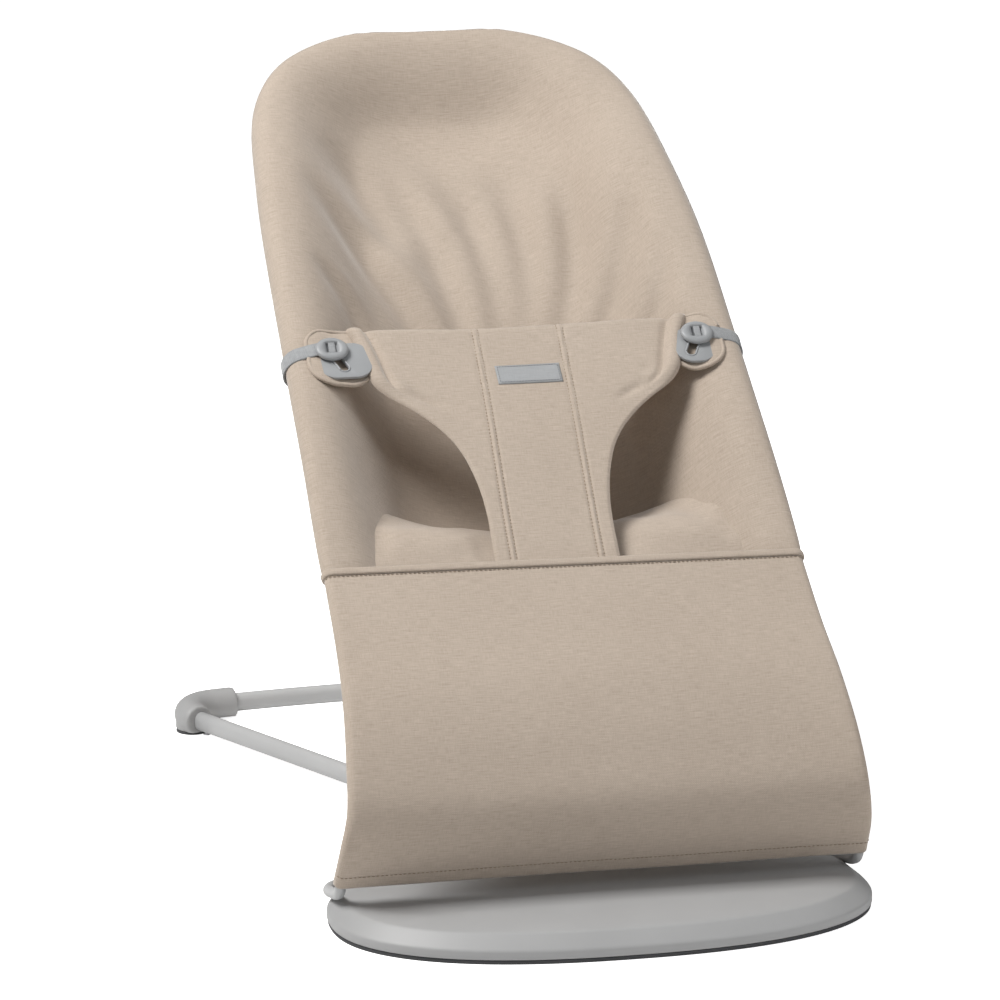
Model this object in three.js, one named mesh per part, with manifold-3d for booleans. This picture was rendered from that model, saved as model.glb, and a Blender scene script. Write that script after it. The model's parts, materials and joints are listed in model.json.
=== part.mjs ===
// Folding baby bouncer seat: a fabric cradle on a spring wire frame that is hinged on an oval foot plate.
// Millimetres, +Z up. The origin is on the floor under the front half of the foot plate, and +Y runs to the rear.
import * as THREE from "three";
import { mergeVertices } from "three/addons/utils/BufferGeometryUtils.js";
import Module from "manifold-3d";

const wasm = await Module();
wasm.setup();

// ---- Driving dimensions ----
const GAP = 0.3; // clearance between neighbouring pieces
const SIDES = [
  ["left", -1],
  ["right", 1],
];

const PLATE = { middleY: 15, halfWidth: 195, halfDepth: 110, power: 2.35, wall: 2.2, edge: 9.5, top: 21, rim: 12 };
const SOLE_HEIGHT = 3; // rubber ring and bottom cover of the foot plate
const RING_WIDTH = 8;

const WIRE_RADIUS = 4; // spring steel wire of the seat frame
const AXLE = { y: 85, z: 10.5, halfLength: 158 }; // hinge of the seat on the foot plate
const SPLIT = { y: 9, z: 35, gap: 0.7 }; // where the flexing seat frame meets the hinged lower wire

const TUBE = { height: 15, width: 12, wall: 1.3, z: 11.5 }; // flat-sided tube of the base frame
const CORNER = { x: 208, y: 530, z: 11.5, radius: 13.5, sleeve: 12.5 }; // rear corners of the base frame
const CORNER_BEND = [
  [170, 564],
  [190, 560],
  [203, 550],
  [208.5, 537],
  [207, 526],
]; // middle line of a corner's sleeve, from the crossbar to the rail
const CROSSBAR = { reach: 192, y: 561, bow: 30 }; // half length, y of its ends and rearward pull of its middle
const RAIL_END = { x: 203.5, y: 516 };
const CORNER_SCREW = { x: 200, y: 509 };
const RAIL_SPACING = 28; // between the rails where they run into the foot plate

// Line of the seat's side wire, from the bottom of the leg panel to the top of the back: half width, y, z.
const SIDE_LINE = [
  [188, 9, 35],
  [186, -8, 64],
  [182, -13, 92],
  [179, 4, 124],
  [175, 36, 158],
  [172, 75, 186],
  [170, 135, 229],
  [166, 208, 285],
  [162, 290, 342],
  [158, 374, 401],
  [151, 454, 448],
  [140, 530, 490],
  [124, 563, 510],
  [98, 588, 525],
  [62, 602, 534],
  [0, 607, 537],
];
const JOIN_POINT = 6.45; // place along SIDE_LINE where the back hoop plugs into the side wires
const SEAM_POINT = 7; // hip seam between the seat and the back
const PAD_TOP_POINT = 12.6; // upper edge of the padded back

const SEAT_TILT = THREE.MathUtils.degToRad(35.6); // slope of the harness plane
const HEM = { y: 135, z: 229 }; // upper edge of the leg panel, and origin of the harness plane
const BIB = { top: 222, tongue: 48, wing: 117, flareFrom: 62, flareTo: 172, thickness: 3 };
const TAB = { x: 133, y: 188, halfWidth: 18, halfHeight: 16, plateLow: 11, plateHigh: 13.5 }; // grey keyhole plate on each bib wing
const BUTTON = { x: 139, y: 197, radius: 9, stretch: 1.4, headLow: 13.9, headHigh: 18.6, shank: 1.9, foot: 3 };
const SLOT = { angle: 66, halfWidth: 2.5, length: 20, release: 3.4, releaseAt: 17 }; // the button's way out

// ---- Finishes ----
const finish = (color, roughness, metalness = 0) => () =>
  new THREE.MeshStandardMaterial({ color, roughness, metalness });
const beigeCloth = finish(0xc9bba8, 0.95);
const greyPlastic = finish(0xb4b6b8, 0.55);
const buttonPlastic = finish(0x9c9fa2, 0.45);
const greyWebbing = finish(0xa3a5a6, 0.9);
const paintedTube = finish(0xc3c5c7, 0.45, 0.2);
const darkRubber = finish(0x3f4144, 0.85);
const springSteel = finish(0x9fa2a5, 0.4, 0.8);
const zincScrew = finish(0xb9bcc0, 0.35, 0.9);

const bouncer = new THREE.Group();
const harnessPlane = new THREE.Group(); // x across, y up the slope, z out of the seat
harnessPlane.position.set(0, HEM.y, HEM.z);
harnessPlane.rotation.x = SEAT_TILT;
bouncer.add(harnessPlane);

function addPiece(name, geometry, material, parent = bouncer) {
  const mesh = new THREE.Mesh(geometry, material());
  mesh.name = name;
  parent.add(mesh);
  return mesh;
}

// ---- Solids ----
function welded(geometry) {
  const bare = geometry.clone();
  bare.deleteAttribute("normal");
  bare.deleteAttribute("uv");
  const merged = mergeVertices(bare, 1e-4);
  const index = [];
  for (let i = 0; i < merged.index.count; i += 3) {
    const [a, b, c] = [0, 1, 2].map((k) => merged.index.getX(i + k));
    if (a !== b && b !== c && c !== a) index.push(a, b, c); // slivers at the poles drop out
  }
  return merged.setIndex(index);
}

function solid(geometry) {
  const merged = welded(geometry);
  return new wasm.Manifold(
    new wasm.Mesh({
      numProp: 3,
      vertProperties: new Float32Array(merged.attributes.position.array),
      triVerts: new Uint32Array(merged.index.array),
    }),
  );
}

function geometryOf(manifold) {
  const mesh = manifold.getMesh();
  const geometry = new THREE.BufferGeometry();
  geometry.setAttribute("position", new THREE.BufferAttribute(mesh.vertProperties, 3));
  geometry.setIndex(new THREE.BufferAttribute(mesh.triVerts, 1));
  return geometry;
}

const join = (...shapes) => geometryOf(shapes.map(solid).reduce((sum, shape) => sum.add(shape)));
const cut = (shape, ...tools) =>
  geometryOf(tools.map(solid).reduce((rest, tool) => rest.subtract(tool), solid(shape)));

function box(lowX, highX, lowY, highY, lowZ, highZ) {
  const geometry = new THREE.BoxGeometry(highX - lowX, highY - lowY, highZ - lowZ);
  return geometry.translate((lowX + highX) / 2, (lowY + highY) / 2, (lowZ + highZ) / 2);
}

function post(radius, lowZ, highZ, x = 0, y = 0, sides = 16) {
  const geometry = new THREE.CylinderGeometry(radius, radius, highZ - lowZ, sides);
  return geometry.rotateX(Math.PI / 2).translate(x, y, (lowZ + highZ) / 2);
}

function crossRod(radius, lowX, highX, y, z, sides = 20) {
  const geometry = new THREE.CylinderGeometry(radius, radius, highX - lowX, sides);
  return geometry.rotateZ(Math.PI / 2).translate((lowX + highX) / 2, y, z);
}

function roundSection(radius, sides) {
  const corners = [];
  for (let i = 0; i < sides; i++) {
    const angle = (2 * Math.PI * i) / sides;
    corners.push(new THREE.Vector2(radius * Math.cos(angle), radius * Math.sin(angle)));
  }
  return new THREE.Shape(corners);
}

// Flat-sided tube section: its long side lies along the extrusion's first section axis.
function oblongPath(PathType, length, width) {
  const radius = width / 2;
  const reach = length / 2 - radius;
  const path = new PathType();
  path.absarc(reach, 0, radius, -Math.PI / 2, Math.PI / 2);
  path.absarc(-reach, 0, radius, Math.PI / 2, (3 * Math.PI) / 2);
  path.closePath();
  return path;
}

function extrudeAlong(section, curve, steps, curveSegments = 4) {
  return new THREE.ExtrudeGeometry(section, {
    steps,
    curveSegments,
    extrudePath: curve,
    bevelEnabled: false,
  });
}

const rodAlong = (curve, steps, radius = WIRE_RADIUS, sides = 8) =>
  extrudeAlong(roundSection(radius, sides), curve, steps);

function hollowTube(curve, steps) {
  const section = oblongPath(THREE.Shape, TUBE.height, TUBE.width);
  const inner = 2 * TUBE.wall;
  section.holes.push(oblongPath(THREE.Path, TUBE.height - inner, TUBE.width - inner));
  return extrudeAlong(section, curve, steps);
}

const tubeCutter = (curve, steps) =>
  extrudeAlong(oblongPath(THREE.Shape, TUBE.height + 2 * GAP, TUBE.width + 2 * GAP), curve, steps);

// Closed panel between two surfaces, each a function of u (-1 left to 1 right) and v (0 to 1).
function panel(columns, rows, front, back) {
  const positions = [];
  const index = [];
  const size = (columns + 1) * (rows + 1);
  for (const surface of [front, back])
    for (let j = 0; j <= rows; j++)
      for (let i = 0; i <= columns; i++) positions.push(...surface((2 * i) / columns - 1, j / rows));
  const at = (i, j, layer) => layer * size + j * (columns + 1) + i;
  const quad = (a, b, c, d) => index.push(a, b, c, a, c, d);
  for (let j = 0; j < rows; j++)
    for (let i = 0; i < columns; i++) {
      quad(at(i, j, 0), at(i + 1, j, 0), at(i + 1, j + 1, 0), at(i, j + 1, 0));
      quad(at(i, j, 1), at(i, j + 1, 1), at(i + 1, j + 1, 1), at(i + 1, j, 1));
    }
  for (let i = 0; i < columns; i++) {
    quad(at(i, 0, 1), at(i + 1, 0, 1), at(i + 1, 0, 0), at(i, 0, 0));
    quad(at(i, rows, 0), at(i + 1, rows, 0), at(i + 1, rows, 1), at(i, rows, 1));
  }
  for (let j = 0; j < rows; j++) {
    quad(at(0, j, 0), at(0, j + 1, 0), at(0, j + 1, 1), at(0, j, 1));
    quad(at(columns, j, 1), at(columns, j + 1, 1), at(columns, j + 1, 0), at(columns, j, 0));
  }
  const geometry = new THREE.BufferGeometry();
  geometry.setAttribute("position", new THREE.Float32BufferAttribute(positions, 3));
  return geometry.setIndex(index);
}

// ---- Side line of the seat ----
const sideCurve = new THREE.CatmullRomCurve3(
  SIDE_LINE.map(([halfWidth, y, z]) => new THREE.Vector3(halfWidth, y, z)),
  false,
  "centripetal",
);

// Half width, y, z and the direction into the seat's hollow at a place counted in points of SIDE_LINE.
function sideAt(place) {
  const t = place / (SIDE_LINE.length - 1);
  const point = sideCurve.getPoint(t);
  const along = sideCurve.getTangent(t);
  const length = Math.hypot(along.y, along.z);
  return { halfWidth: point.x, y: point.y, z: point.z, downY: along.z / length, downZ: -along.y / length };
}

// Point on a sheet that hangs `depth` below the side line, `inset` inside the wires.
function hangingPoint(place, u, inset, depth) {
  const line = sideAt(place);
  return [u * (line.halfWidth - inset), line.y + line.downY * depth, line.z + line.downZ * depth];
}

// Depth between listed [place, depth] pairs, eased so that the sheet stays smooth.
function depthAt(pairs, place) {
  for (let i = 1; i < pairs.length; i++) {
    const [fromPlace, fromDepth] = pairs[i - 1];
    const [toPlace, toDepth] = pairs[i];
    if (place > toPlace && i < pairs.length - 1) continue;
    const share = THREE.MathUtils.smoothstep(place, fromPlace, toPlace);
    return fromDepth + (toDepth - fromDepth) * share;
  }
}

// Part of the side line as a curve of its own, on the side given by sign.
function sideWireCurve(fromPlace, toPlace, sign, pieces) {
  const points = [];
  for (let i = 0; i <= pieces; i++) {
    const line = sideAt(fromPlace + ((toPlace - fromPlace) * i) / pieces);
    points.push(new THREE.Vector3(sign * line.halfWidth, line.y, line.z));
  }
  return new THREE.CatmullRomCurve3(points, false, "centripetal");
}

// ---- Foot plate ----
const PLATE_SEGMENTS = 52;
const ovalPower = (value) => Math.sign(value) * Math.abs(value) ** (2 / PLATE.power);

// Turned oval: the closed profile holds [inset from the rim, z] points, an inset of halfDepth being the middle.
function turnedOval(profile) {
  const lathe = new THREE.LatheGeometry(
    [...profile, profile[0]].map(([inset, z]) => new THREE.Vector2(PLATE.halfDepth - inset, z)),
    PLATE_SEGMENTS,
  ).rotateX(Math.PI / 2);
  const position = lathe.attributes.position;
  for (let i = 0; i < position.count; i++) {
    const x = position.getX(i);
    const y = position.getY(i);
    const radius = Math.hypot(x, y);
    const atMiddle = radius < 1e-6;
    const wide = atMiddle ? 0 : radius + PLATE.halfWidth - PLATE.halfDepth;
    const cosine = atMiddle ? 0 : ovalPower(x / radius);
    const sine = atMiddle ? 0 : ovalPower(y / radius);
    position.setXY(i, wide * cosine, PLATE.middleY + radius * sine);
  }
  return solid(lathe).volume() < 0 ? turnedOval([...profile].reverse()) : lathe;
}

const SCREW_PLACES = [
  [-120, -30],
  [120, -30],
  [-60, 43],
  [60, 43],
];
const BOSS_RADIUS = 5;
const SOCKET = { halfWidth: 31, front: 99, back: 147, low: 0.6, high: 21.5 };
const socketClearance = (grow) =>
  box(-SOCKET.halfWidth - grow, SOCKET.halfWidth + grow, SOCKET.front - grow, 200, -5, 40);

function footPlateShell() {
  const low = SOLE_HEIGHT + GAP;
  const ceiling = PLATE.top - PLATE.wall;
  const shell = turnedOval([
    [0, low],
    [0, PLATE.edge],
    [PLATE.rim, PLATE.top - 1.5],
    [PLATE.rim + 10, PLATE.top],
    [PLATE.halfDepth, PLATE.top],
    [PLATE.halfDepth, ceiling],
    [PLATE.rim + 10, ceiling],
    [PLATE.rim + 1.2, ceiling - 1.4],
    [PLATE.wall, PLATE.edge - 1.1],
    [PLATE.wall, low],
  ]);
  const bosses = SCREW_PLACES.map(([x, y]) => post(BOSS_RADIUS, low, ceiling + 1, x, y, 12));
  const screwHoles = SCREW_PLACES.map(([x, y]) => post(1.8 + GAP, 0, 15, x, y, 10));
  const axleHole = crossRod(WIRE_RADIUS + 0.6, -PLATE.halfWidth, PLATE.halfWidth, AXLE.y, AXLE.z);
  return cut(join(shell, ...bosses), ...screwHoles, axleHole, socketClearance(GAP));
}

function footPlateBase() {
  const cover = turnedOval([
    [RING_WIDTH + GAP, 0],
    [RING_WIDTH + GAP, SOLE_HEIGHT],
    [PLATE.halfDepth, SOLE_HEIGHT],
    [PLATE.halfDepth, 0],
  ]);
  const holes = SCREW_PLACES.flatMap(([x, y]) => [
    post(1.8 + GAP, -1, 5, x, y, 10),
    post(3.5 + GAP, -1, 2, x, y, 12),
  ]);
  const leafHoles = SIDES.map(([, sign]) => post(1.3 + GAP, 1, 5, sign * HUB.x, LEAF.screwY, 8));
  return cut(cover, ...holes, ...leafHoles, socketClearance(GAP));
}

function soleRing() {
  const ring = turnedOval([
    [1, 0],
    [0.4, SOLE_HEIGHT],
    [RING_WIDTH, SOLE_HEIGHT],
    [RING_WIDTH, 0],
  ]);
  return cut(ring, socketClearance(GAP));
}

// Countersunk or flat-headed screw standing on its head, threaded end up.
const screw = (headRadius, headLow, headHigh, shankRadius, tip) =>
  join(post(headRadius, headLow, headHigh, 0, 0, 12), post(shankRadius, headHigh - 0.5, tip, 0, 0, 8));

const HUB = { x: 50, radius: 5.6, width: 16, notch: 1.1 };
const LOCKED_AT = [0, 6.5, 13, 38]; // degrees of fold at the three seat heights and when folded for carrying
const LEAF = { screwY: 107, thickness: 1, high: 15 };
const SADDLE = { x: 100, halfWidth: 9, halfDepth: 9 };

// Lower half of the axle's bearing; the shell above closes it.
function axleSaddle() {
  const block = box(
    -SADDLE.halfWidth, SADDLE.halfWidth, -SADDLE.halfDepth, SADDLE.halfDepth, SOLE_HEIGHT + GAP, AXLE.z,
  );
  return cut(block, crossRod(WIRE_RADIUS + GAP, -20, 20, 0, AXLE.z));
}

// Bent steel strip: its foot is screwed down and its tip stands at the crest of the hub's notches.
function detentLeaf() {
  const profile = new THREE.Shape();
  const arm = AXLE.y + HUB.radius + 1.3;
  const floor = SOLE_HEIGHT + GAP;
  profile.moveTo(arm, floor);
  profile.lineTo(LEAF.screwY + 6, floor);
  profile.lineTo(LEAF.screwY + 6, floor + LEAF.thickness);
  profile.lineTo(arm + LEAF.thickness, floor + LEAF.thickness);
  profile.lineTo(arm + LEAF.thickness, LEAF.high);
  profile.lineTo(arm, LEAF.high);
  profile.lineTo(arm, AXLE.z + 1.5);
  profile.lineTo(arm - 0.9, AXLE.z);
  profile.lineTo(arm, AXLE.z - 1.5);
  profile.closePath();
  const width = HUB.width - 4;
  const strip = new THREE.ExtrudeGeometry(profile, { depth: width, bevelEnabled: false });
  strip.rotateY(Math.PI / 2).rotateX(Math.PI / 2).translate(-width / 2, 0, 0);
  return cut(strip, post(1.3 + GAP, 0, 8, 0, LEAF.screwY, 8));
}

// Notched hub on the axle: one notch for each of the three seat heights and one for the folded seat.
function detentHub() {
  const hub = crossRod(HUB.radius, -HUB.width / 2, HUB.width / 2, 0, 0, 24);
  const bore = crossRod(WIRE_RADIUS + GAP, -20, 20, 0, 0);
  const notches = LOCKED_AT.map((fold) => {
    const angle = THREE.MathUtils.degToRad(fold);
    const reach = HUB.radius + 0.6;
    return crossRod(HUB.notch, -20, 20, reach * Math.cos(angle), reach * Math.sin(angle), 8);
  });
  return cut(hub, bore, ...notches);
}

function addFootPlate() {
  addPiece("foot_plate", footPlateShell(), greyPlastic);
  addPiece("foot_plate_base", footPlateBase(), greyPlastic);
  addPiece("sole_ring", soleRing(), darkRubber);
  SCREW_PLACES.forEach(([x, y], i) => {
    const piece = addPiece("plate_screw_" + (i + 1), screw(3.5, 0.2, 1.8, 1.8, 14), zincScrew);
    piece.position.set(x, y, 0);
  });
  for (const [side, sign] of SIDES) {
    addPiece("axle_saddle_" + side, axleSaddle(), greyPlastic).position.set(sign * SADDLE.x, AXLE.y, 0);
    addPiece("detent_leaf_" + side, detentLeaf(), springSteel).position.x = sign * HUB.x;
    const foot = SOLE_HEIGHT + GAP + LEAF.thickness;
    const leafScrew = join(
      post(2.6, foot + GAP, foot + 1.8, 0, 0, 10),
      post(1.3, 1.4, foot + 0.6, 0, 0, 8),
    );
    addPiece("leaf_screw_" + side, leafScrew, zincScrew).position.set(sign * HUB.x, LEAF.screwY, 0);
    addPiece("detent_hub_" + side, detentHub(), greyPlastic).position.set(sign * HUB.x, AXLE.y, AXLE.z);
  }
}

// ---- Base frame ----
function railCurve(sign) {
  const path = new THREE.CurvePath();
  const x = (value) => sign * value;
  const at = (px, y) => new THREE.Vector3(x(px), y, TUBE.z);
  const near = RAIL_SPACING / 2;
  path.add(new THREE.LineCurve3(at(RAIL_END.x, RAIL_END.y), at(near + 22.5, 187)));
  path.add(new THREE.QuadraticBezierCurve3(at(near + 22.5, 187), at(near, 143), at(near, 120)));
  path.add(new THREE.LineCurve3(at(near, 120), at(near, SOCKET.front + 6)));
  return path;
}

const crossbarCurve = new THREE.QuadraticBezierCurve3(
  new THREE.Vector3(-CROSSBAR.reach, CROSSBAR.y, TUBE.z),
  new THREE.Vector3(0, CROSSBAR.y + CROSSBAR.bow, TUBE.z),
  new THREE.Vector3(CROSSBAR.reach, CROSSBAR.y, TUBE.z),
);

const RAIL_STEPS = 14;
const CROSSBAR_STEPS = 12;

function capsule(radius, from, to) {
  const along = new THREE.Vector3().subVectors(to, from);
  const geometry = new THREE.CapsuleGeometry(radius, along.length(), 4, 14);
  const turn = new THREE.Quaternion().setFromUnitVectors(
    new THREE.Vector3(0, 1, 0),
    along.clone().normalize(),
  );
  geometry.applyQuaternion(turn);
  return geometry.translate((from.x + to.x) / 2, (from.y + to.y) / 2, (from.z + to.z) / 2);
}

const CORNER_BOTTOM = 2.3;
const SOLE_PAD_HEIGHT = 2;

function cornerPiece(sign) {
  const bend = CORNER_BEND.map(([x, y]) => new THREE.Vector3(sign * x, y, CORNER.z));
  const mouth = new THREE.Vector3(sign * CORNER_SCREW.x, CORNER_SCREW.y, CORNER.z);
  const body = join(
    ...bend.slice(1).map((point, i) => capsule(CORNER.sleeve, bend[i], point)),
    capsule(CORNER.sleeve - 2.5, bend.at(-1), mouth),
    post(CORNER.radius, CORNER_BOTTOM, CORNER.z, sign * CORNER.x, CORNER.y, 20),
  );
  return cut(
    body,
    box(-300, 300, 400, 700, -10, CORNER_BOTTOM),
    tubeCutter(railCurve(sign), RAIL_STEPS),
    tubeCutter(crossbarCurve, CROSSBAR_STEPS),
    post(1.8 + GAP, 0, 12, sign * CORNER_SCREW.x, CORNER_SCREW.y, 8),
    post(3 + GAP, 0, 3.2, sign * CORNER_SCREW.x, CORNER_SCREW.y, 10),
  );
}

function frameSocket() {
  const block = box(
    -SOCKET.halfWidth, SOCKET.halfWidth, SOCKET.front, SOCKET.back, SOCKET.low, SOCKET.high,
  );
  return cut(block, ...SIDES.map(([, sign]) => tubeCutter(railCurve(sign), RAIL_STEPS)));
}

function addBaseFrame() {
  addPiece("frame_socket", frameSocket(), greyPlastic);
  addPiece("rear_crossbar", hollowTube(crossbarCurve, CROSSBAR_STEPS), paintedTube);
  for (const [side, sign] of SIDES) {
    const rail = cut(
      hollowTube(railCurve(sign), RAIL_STEPS),
      post(1.8 + GAP, 0, 8, sign * CORNER_SCREW.x, CORNER_SCREW.y, 8),
    );
    addPiece("rail_" + side, rail, paintedTube);
    addPiece("corner_" + side, cornerPiece(sign), greyPlastic);
    const sole = post(CORNER.radius - 0.5, 0, SOLE_PAD_HEIGHT, sign * CORNER.x, CORNER.y, 20);
    addPiece("corner_sole_" + side, sole, darkRubber);
    const cornerScrew = addPiece("corner_screw_" + side, screw(3, 2.4, 3, 1.8, 7), zincScrew);
    cornerScrew.position.set(sign * CORNER_SCREW.x, CORNER_SCREW.y, 0);
  }
}

// ---- Wire frame ----
// One wire: down from each lower corner of the leg panel, round the plate's rim and across as the axle.
function lowerWire() {
  const half = [
    [188, SPLIT.y + SPLIT.gap / 2, SPLIT.z - SPLIT.gap],
    [188, 13.5, 27.6],
    [188, 24, 22.6],
    [188, 37, 19.2],
    [187.8, 51, 16],
    [186.4, 64, 13.3],
    [181.5, 76.5, 11.4],
    [172.5, 84, AXLE.z + 0.1],
  ];
  const left = half.map(([x, y, z]) => new THREE.Vector3(-x, y, z));
  const right = half.map(([x, y, z]) => new THREE.Vector3(x, y, z)).reverse();
  const ends = [-AXLE.halfLength, AXLE.halfLength].map((x) => new THREE.Vector3(x, AXLE.y, AXLE.z));
  const path = new THREE.CurvePath();
  path.add(new THREE.CatmullRomCurve3([...left, ends[0]], false, "centripetal"));
  path.add(new THREE.LineCurve3(ends[0], ends[1]));
  path.add(new THREE.CatmullRomCurve3([ends[1], ...right], false, "centripetal"));
  return rodAlong(path, 52);
}

function addWires() {
  addPiece("lower_wire", lowerWire(), paintedTube);
  for (const [side, sign] of SIDES) {
    const wire = sideWireCurve(0, JOIN_POINT - 0.01, sign, 24);
    addPiece("side_wire_" + side, rodAlong(wire, 24), paintedTube);
    const sleeveCurve = sideWireCurve(JOIN_POINT - 0.22, JOIN_POINT + 0.22, sign, 3);
    const sleeve = cut(
      rodAlong(sleeveCurve, 3, WIRE_RADIUS + 1.5, 10),
      rodAlong(sideWireCurve(JOIN_POINT - 0.5, JOIN_POINT + 0.5, sign, 4), 5, WIRE_RADIUS + GAP, 10),
    );
    addPiece("wire_sleeve_" + side, sleeve, springSteel);
  }
  const right = sideWireCurve(JOIN_POINT + 0.01, SIDE_LINE.length - 1, 1, 20).points;
  const left = right.slice(0, -1).reverse().map((p) => new THREE.Vector3(-p.x, p.y, p.z));
  const hoop = new THREE.CatmullRomCurve3([...right, ...left], false, "centripetal");
  addPiece("back_hoop", rodAlong(hoop, 48), paintedTube);
}

// ---- Fabric ----
const hollow = (u, sharpness) => 1 - Math.abs(u) ** sharpness;
const PANEL_INSET = 5.5;
const PAD_INSET = 8;
const PAD_THICKNESS = 12;
const BACK_DEPTH = [
  [SEAM_POINT, 90],
  [8, 76],
  [9, 58],
  [10, 40],
  [PAD_TOP_POINT, 12],
];
const REAR_DEPTH = [
  [0.4, 8],
  [5, 12],
  [6, 64],
  [7, 112],
  [8, 98],
  [9, 79],
  [10, 60],
  [PAD_TOP_POINT, 32],
];

function sheet(columns, rows, fromPlace, toPlace, inset, depthOf, thickness) {
  const place = (v) => fromPlace + (toPlace - fromPlace) * v;
  return panel(
    columns,
    rows,
    (u, v) => hangingPoint(place(v), u, inset, depthOf(u, place(v))),
    (u, v) => hangingPoint(place(v), u, inset, depthOf(u, place(v)) + thickness),
  );
}

const backDepth = (u, place) => depthAt(BACK_DEPTH, place) * hollow(u, 2.4);
const REAR_EDGE_DEPTH = 17.5;
const rearDepth = (u, place) => {
  const middle = depthAt(REAR_DEPTH, place);
  const edge = Math.min(middle, REAR_EDGE_DEPTH);
  return edge + (middle - edge) * hollow(u, place < SEAM_POINT ? 8 : 2.4);
};

// Padded seat between the back of the leg panel and the hip seam, higher under the thighs.
function seatPad() {
  const sideInset = 26;
  const frontEdge = { y: 137, z: 220 };
  const rise = 24;
  const surface = (drop) => (u, v) => {
    const seam = hangingPoint(SEAM_POINT, u, sideInset, 86 * hollow(u, 2.4) + 4);
    const x = seam[0] + u * (sideInset - 22) * (1 - v);
    const y = frontEdge.y + (seam[1] - 4 - frontEdge.y) * v;
    const bulge = rise * Math.sin(Math.PI * v) * (1 - u ** 4);
    return [x, y, frontEdge.z + (seam[2] - frontEdge.z) * v + bulge - drop];
  };
  return panel(12, 6, surface(0), surface(PAD_THICKNESS));
}

function addFabric() {
  addPiece("leg_panel", sheet(4, 16, 0.05, 5.86, PANEL_INSET, () => -4, 3), beigeCloth);
  addPiece("hem_binding", sheet(4, 1, 5.88, 6.0, PANEL_INSET, () => -5, 4), beigeCloth);
  addPiece("seat_pad", seatPad(), beigeCloth);
  addPiece("back_pad", sheet(12, 11, SEAM_POINT, PAD_TOP_POINT, PAD_INSET, backDepth, PAD_THICKNESS), beigeCloth);
  addPiece("rear_cover", sheet(12, 18, 0.4, PAD_TOP_POINT, PAD_INSET, rearDepth, 1.5), beigeCloth);
  [-110, 0, 110].forEach((x, i) => {
    const line = sideAt(0.9);
    const stud = addPiece("press_stud_" + (i + 1), new THREE.CylinderGeometry(6, 6.6, 2.4, 14), buttonPlastic);
    const depth = 12.4;
    stud.position.set(x, line.y + line.downY * depth, line.z + line.downZ * depth);
    stud.rotation.x = Math.atan2(line.downZ, line.downY);
  });
}

// ---- Harness ----
const BIB_LOW = 3; // where the tongue leaves the hem
const bibHeight = (y) => 1.2 + 4 * THREE.MathUtils.smoothstep(y, 20, 170);

// Half width of the bib: a narrow tongue that flares in a quarter curve to the wings.
function bibHalfWidth(y) {
  const flare = THREE.MathUtils.clamp((y - BIB.flareFrom) / (BIB.flareTo - BIB.flareFrom), 0, 1);
  return BIB.tongue + (BIB.wing - BIB.tongue) * (1 - Math.sqrt(1 - flare ** 2.2)) ** 1.05;
}

function harnessBib() {
  const surface = (lift) => (u, v) => {
    const y = BIB_LOW + (BIB.top - BIB_LOW) * v;
    return [u * bibHalfWidth(y), y, bibHeight(y) + lift];
  };
  return panel(8, 16, surface(BIB.thickness), surface(0));
}

function roundedPlate(halfWidth, halfHeight, corner, low, high) {
  const shape = new THREE.Shape();
  shape.absarc(halfWidth - corner, halfHeight - corner, corner, 0, Math.PI / 2);
  shape.absarc(-halfWidth + corner, halfHeight - corner, corner, Math.PI / 2, Math.PI);
  shape.absarc(-halfWidth + corner, -halfHeight + corner, corner, Math.PI, (3 * Math.PI) / 2);
  shape.absarc(halfWidth - corner, -halfHeight + corner, corner, (3 * Math.PI) / 2, 2 * Math.PI);
  shape.closePath();
  const options = { depth: high - low, bevelEnabled: false, curveSegments: 5 };
  return new THREE.ExtrudeGeometry(shape, options).translate(0, 0, low);
}

// Direction in which a button slides to come free: down the slope and towards the middle.
const slotAngle = (sign) =>
  -Math.PI / 2 - sign * (Math.PI / 2 - THREE.MathUtils.degToRad(SLOT.angle));

function keyholePlate(sign) {
  const plate = roundedPlate(TAB.halfWidth, TAB.halfHeight, 12, TAB.plateLow, TAB.plateHigh);
  plate.translate(sign * TAB.x, TAB.y, 0);
  const slot = roundedPlate(SLOT.halfWidth, SLOT.length / 2, SLOT.halfWidth - 0.1, 0, 30);
  slot.translate(0, SLOT.length / 2 - SLOT.halfWidth, 0).rotateZ(slotAngle(sign) - Math.PI / 2);
  const release = post(SLOT.release, 0, 30, SLOT.releaseAt, 0, 16).rotateZ(slotAngle(sign));
  const place = (tool) => tool.translate(sign * BUTTON.x, BUTTON.y, 0);
  return cut(plate, place(slot), place(release));
}

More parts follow.
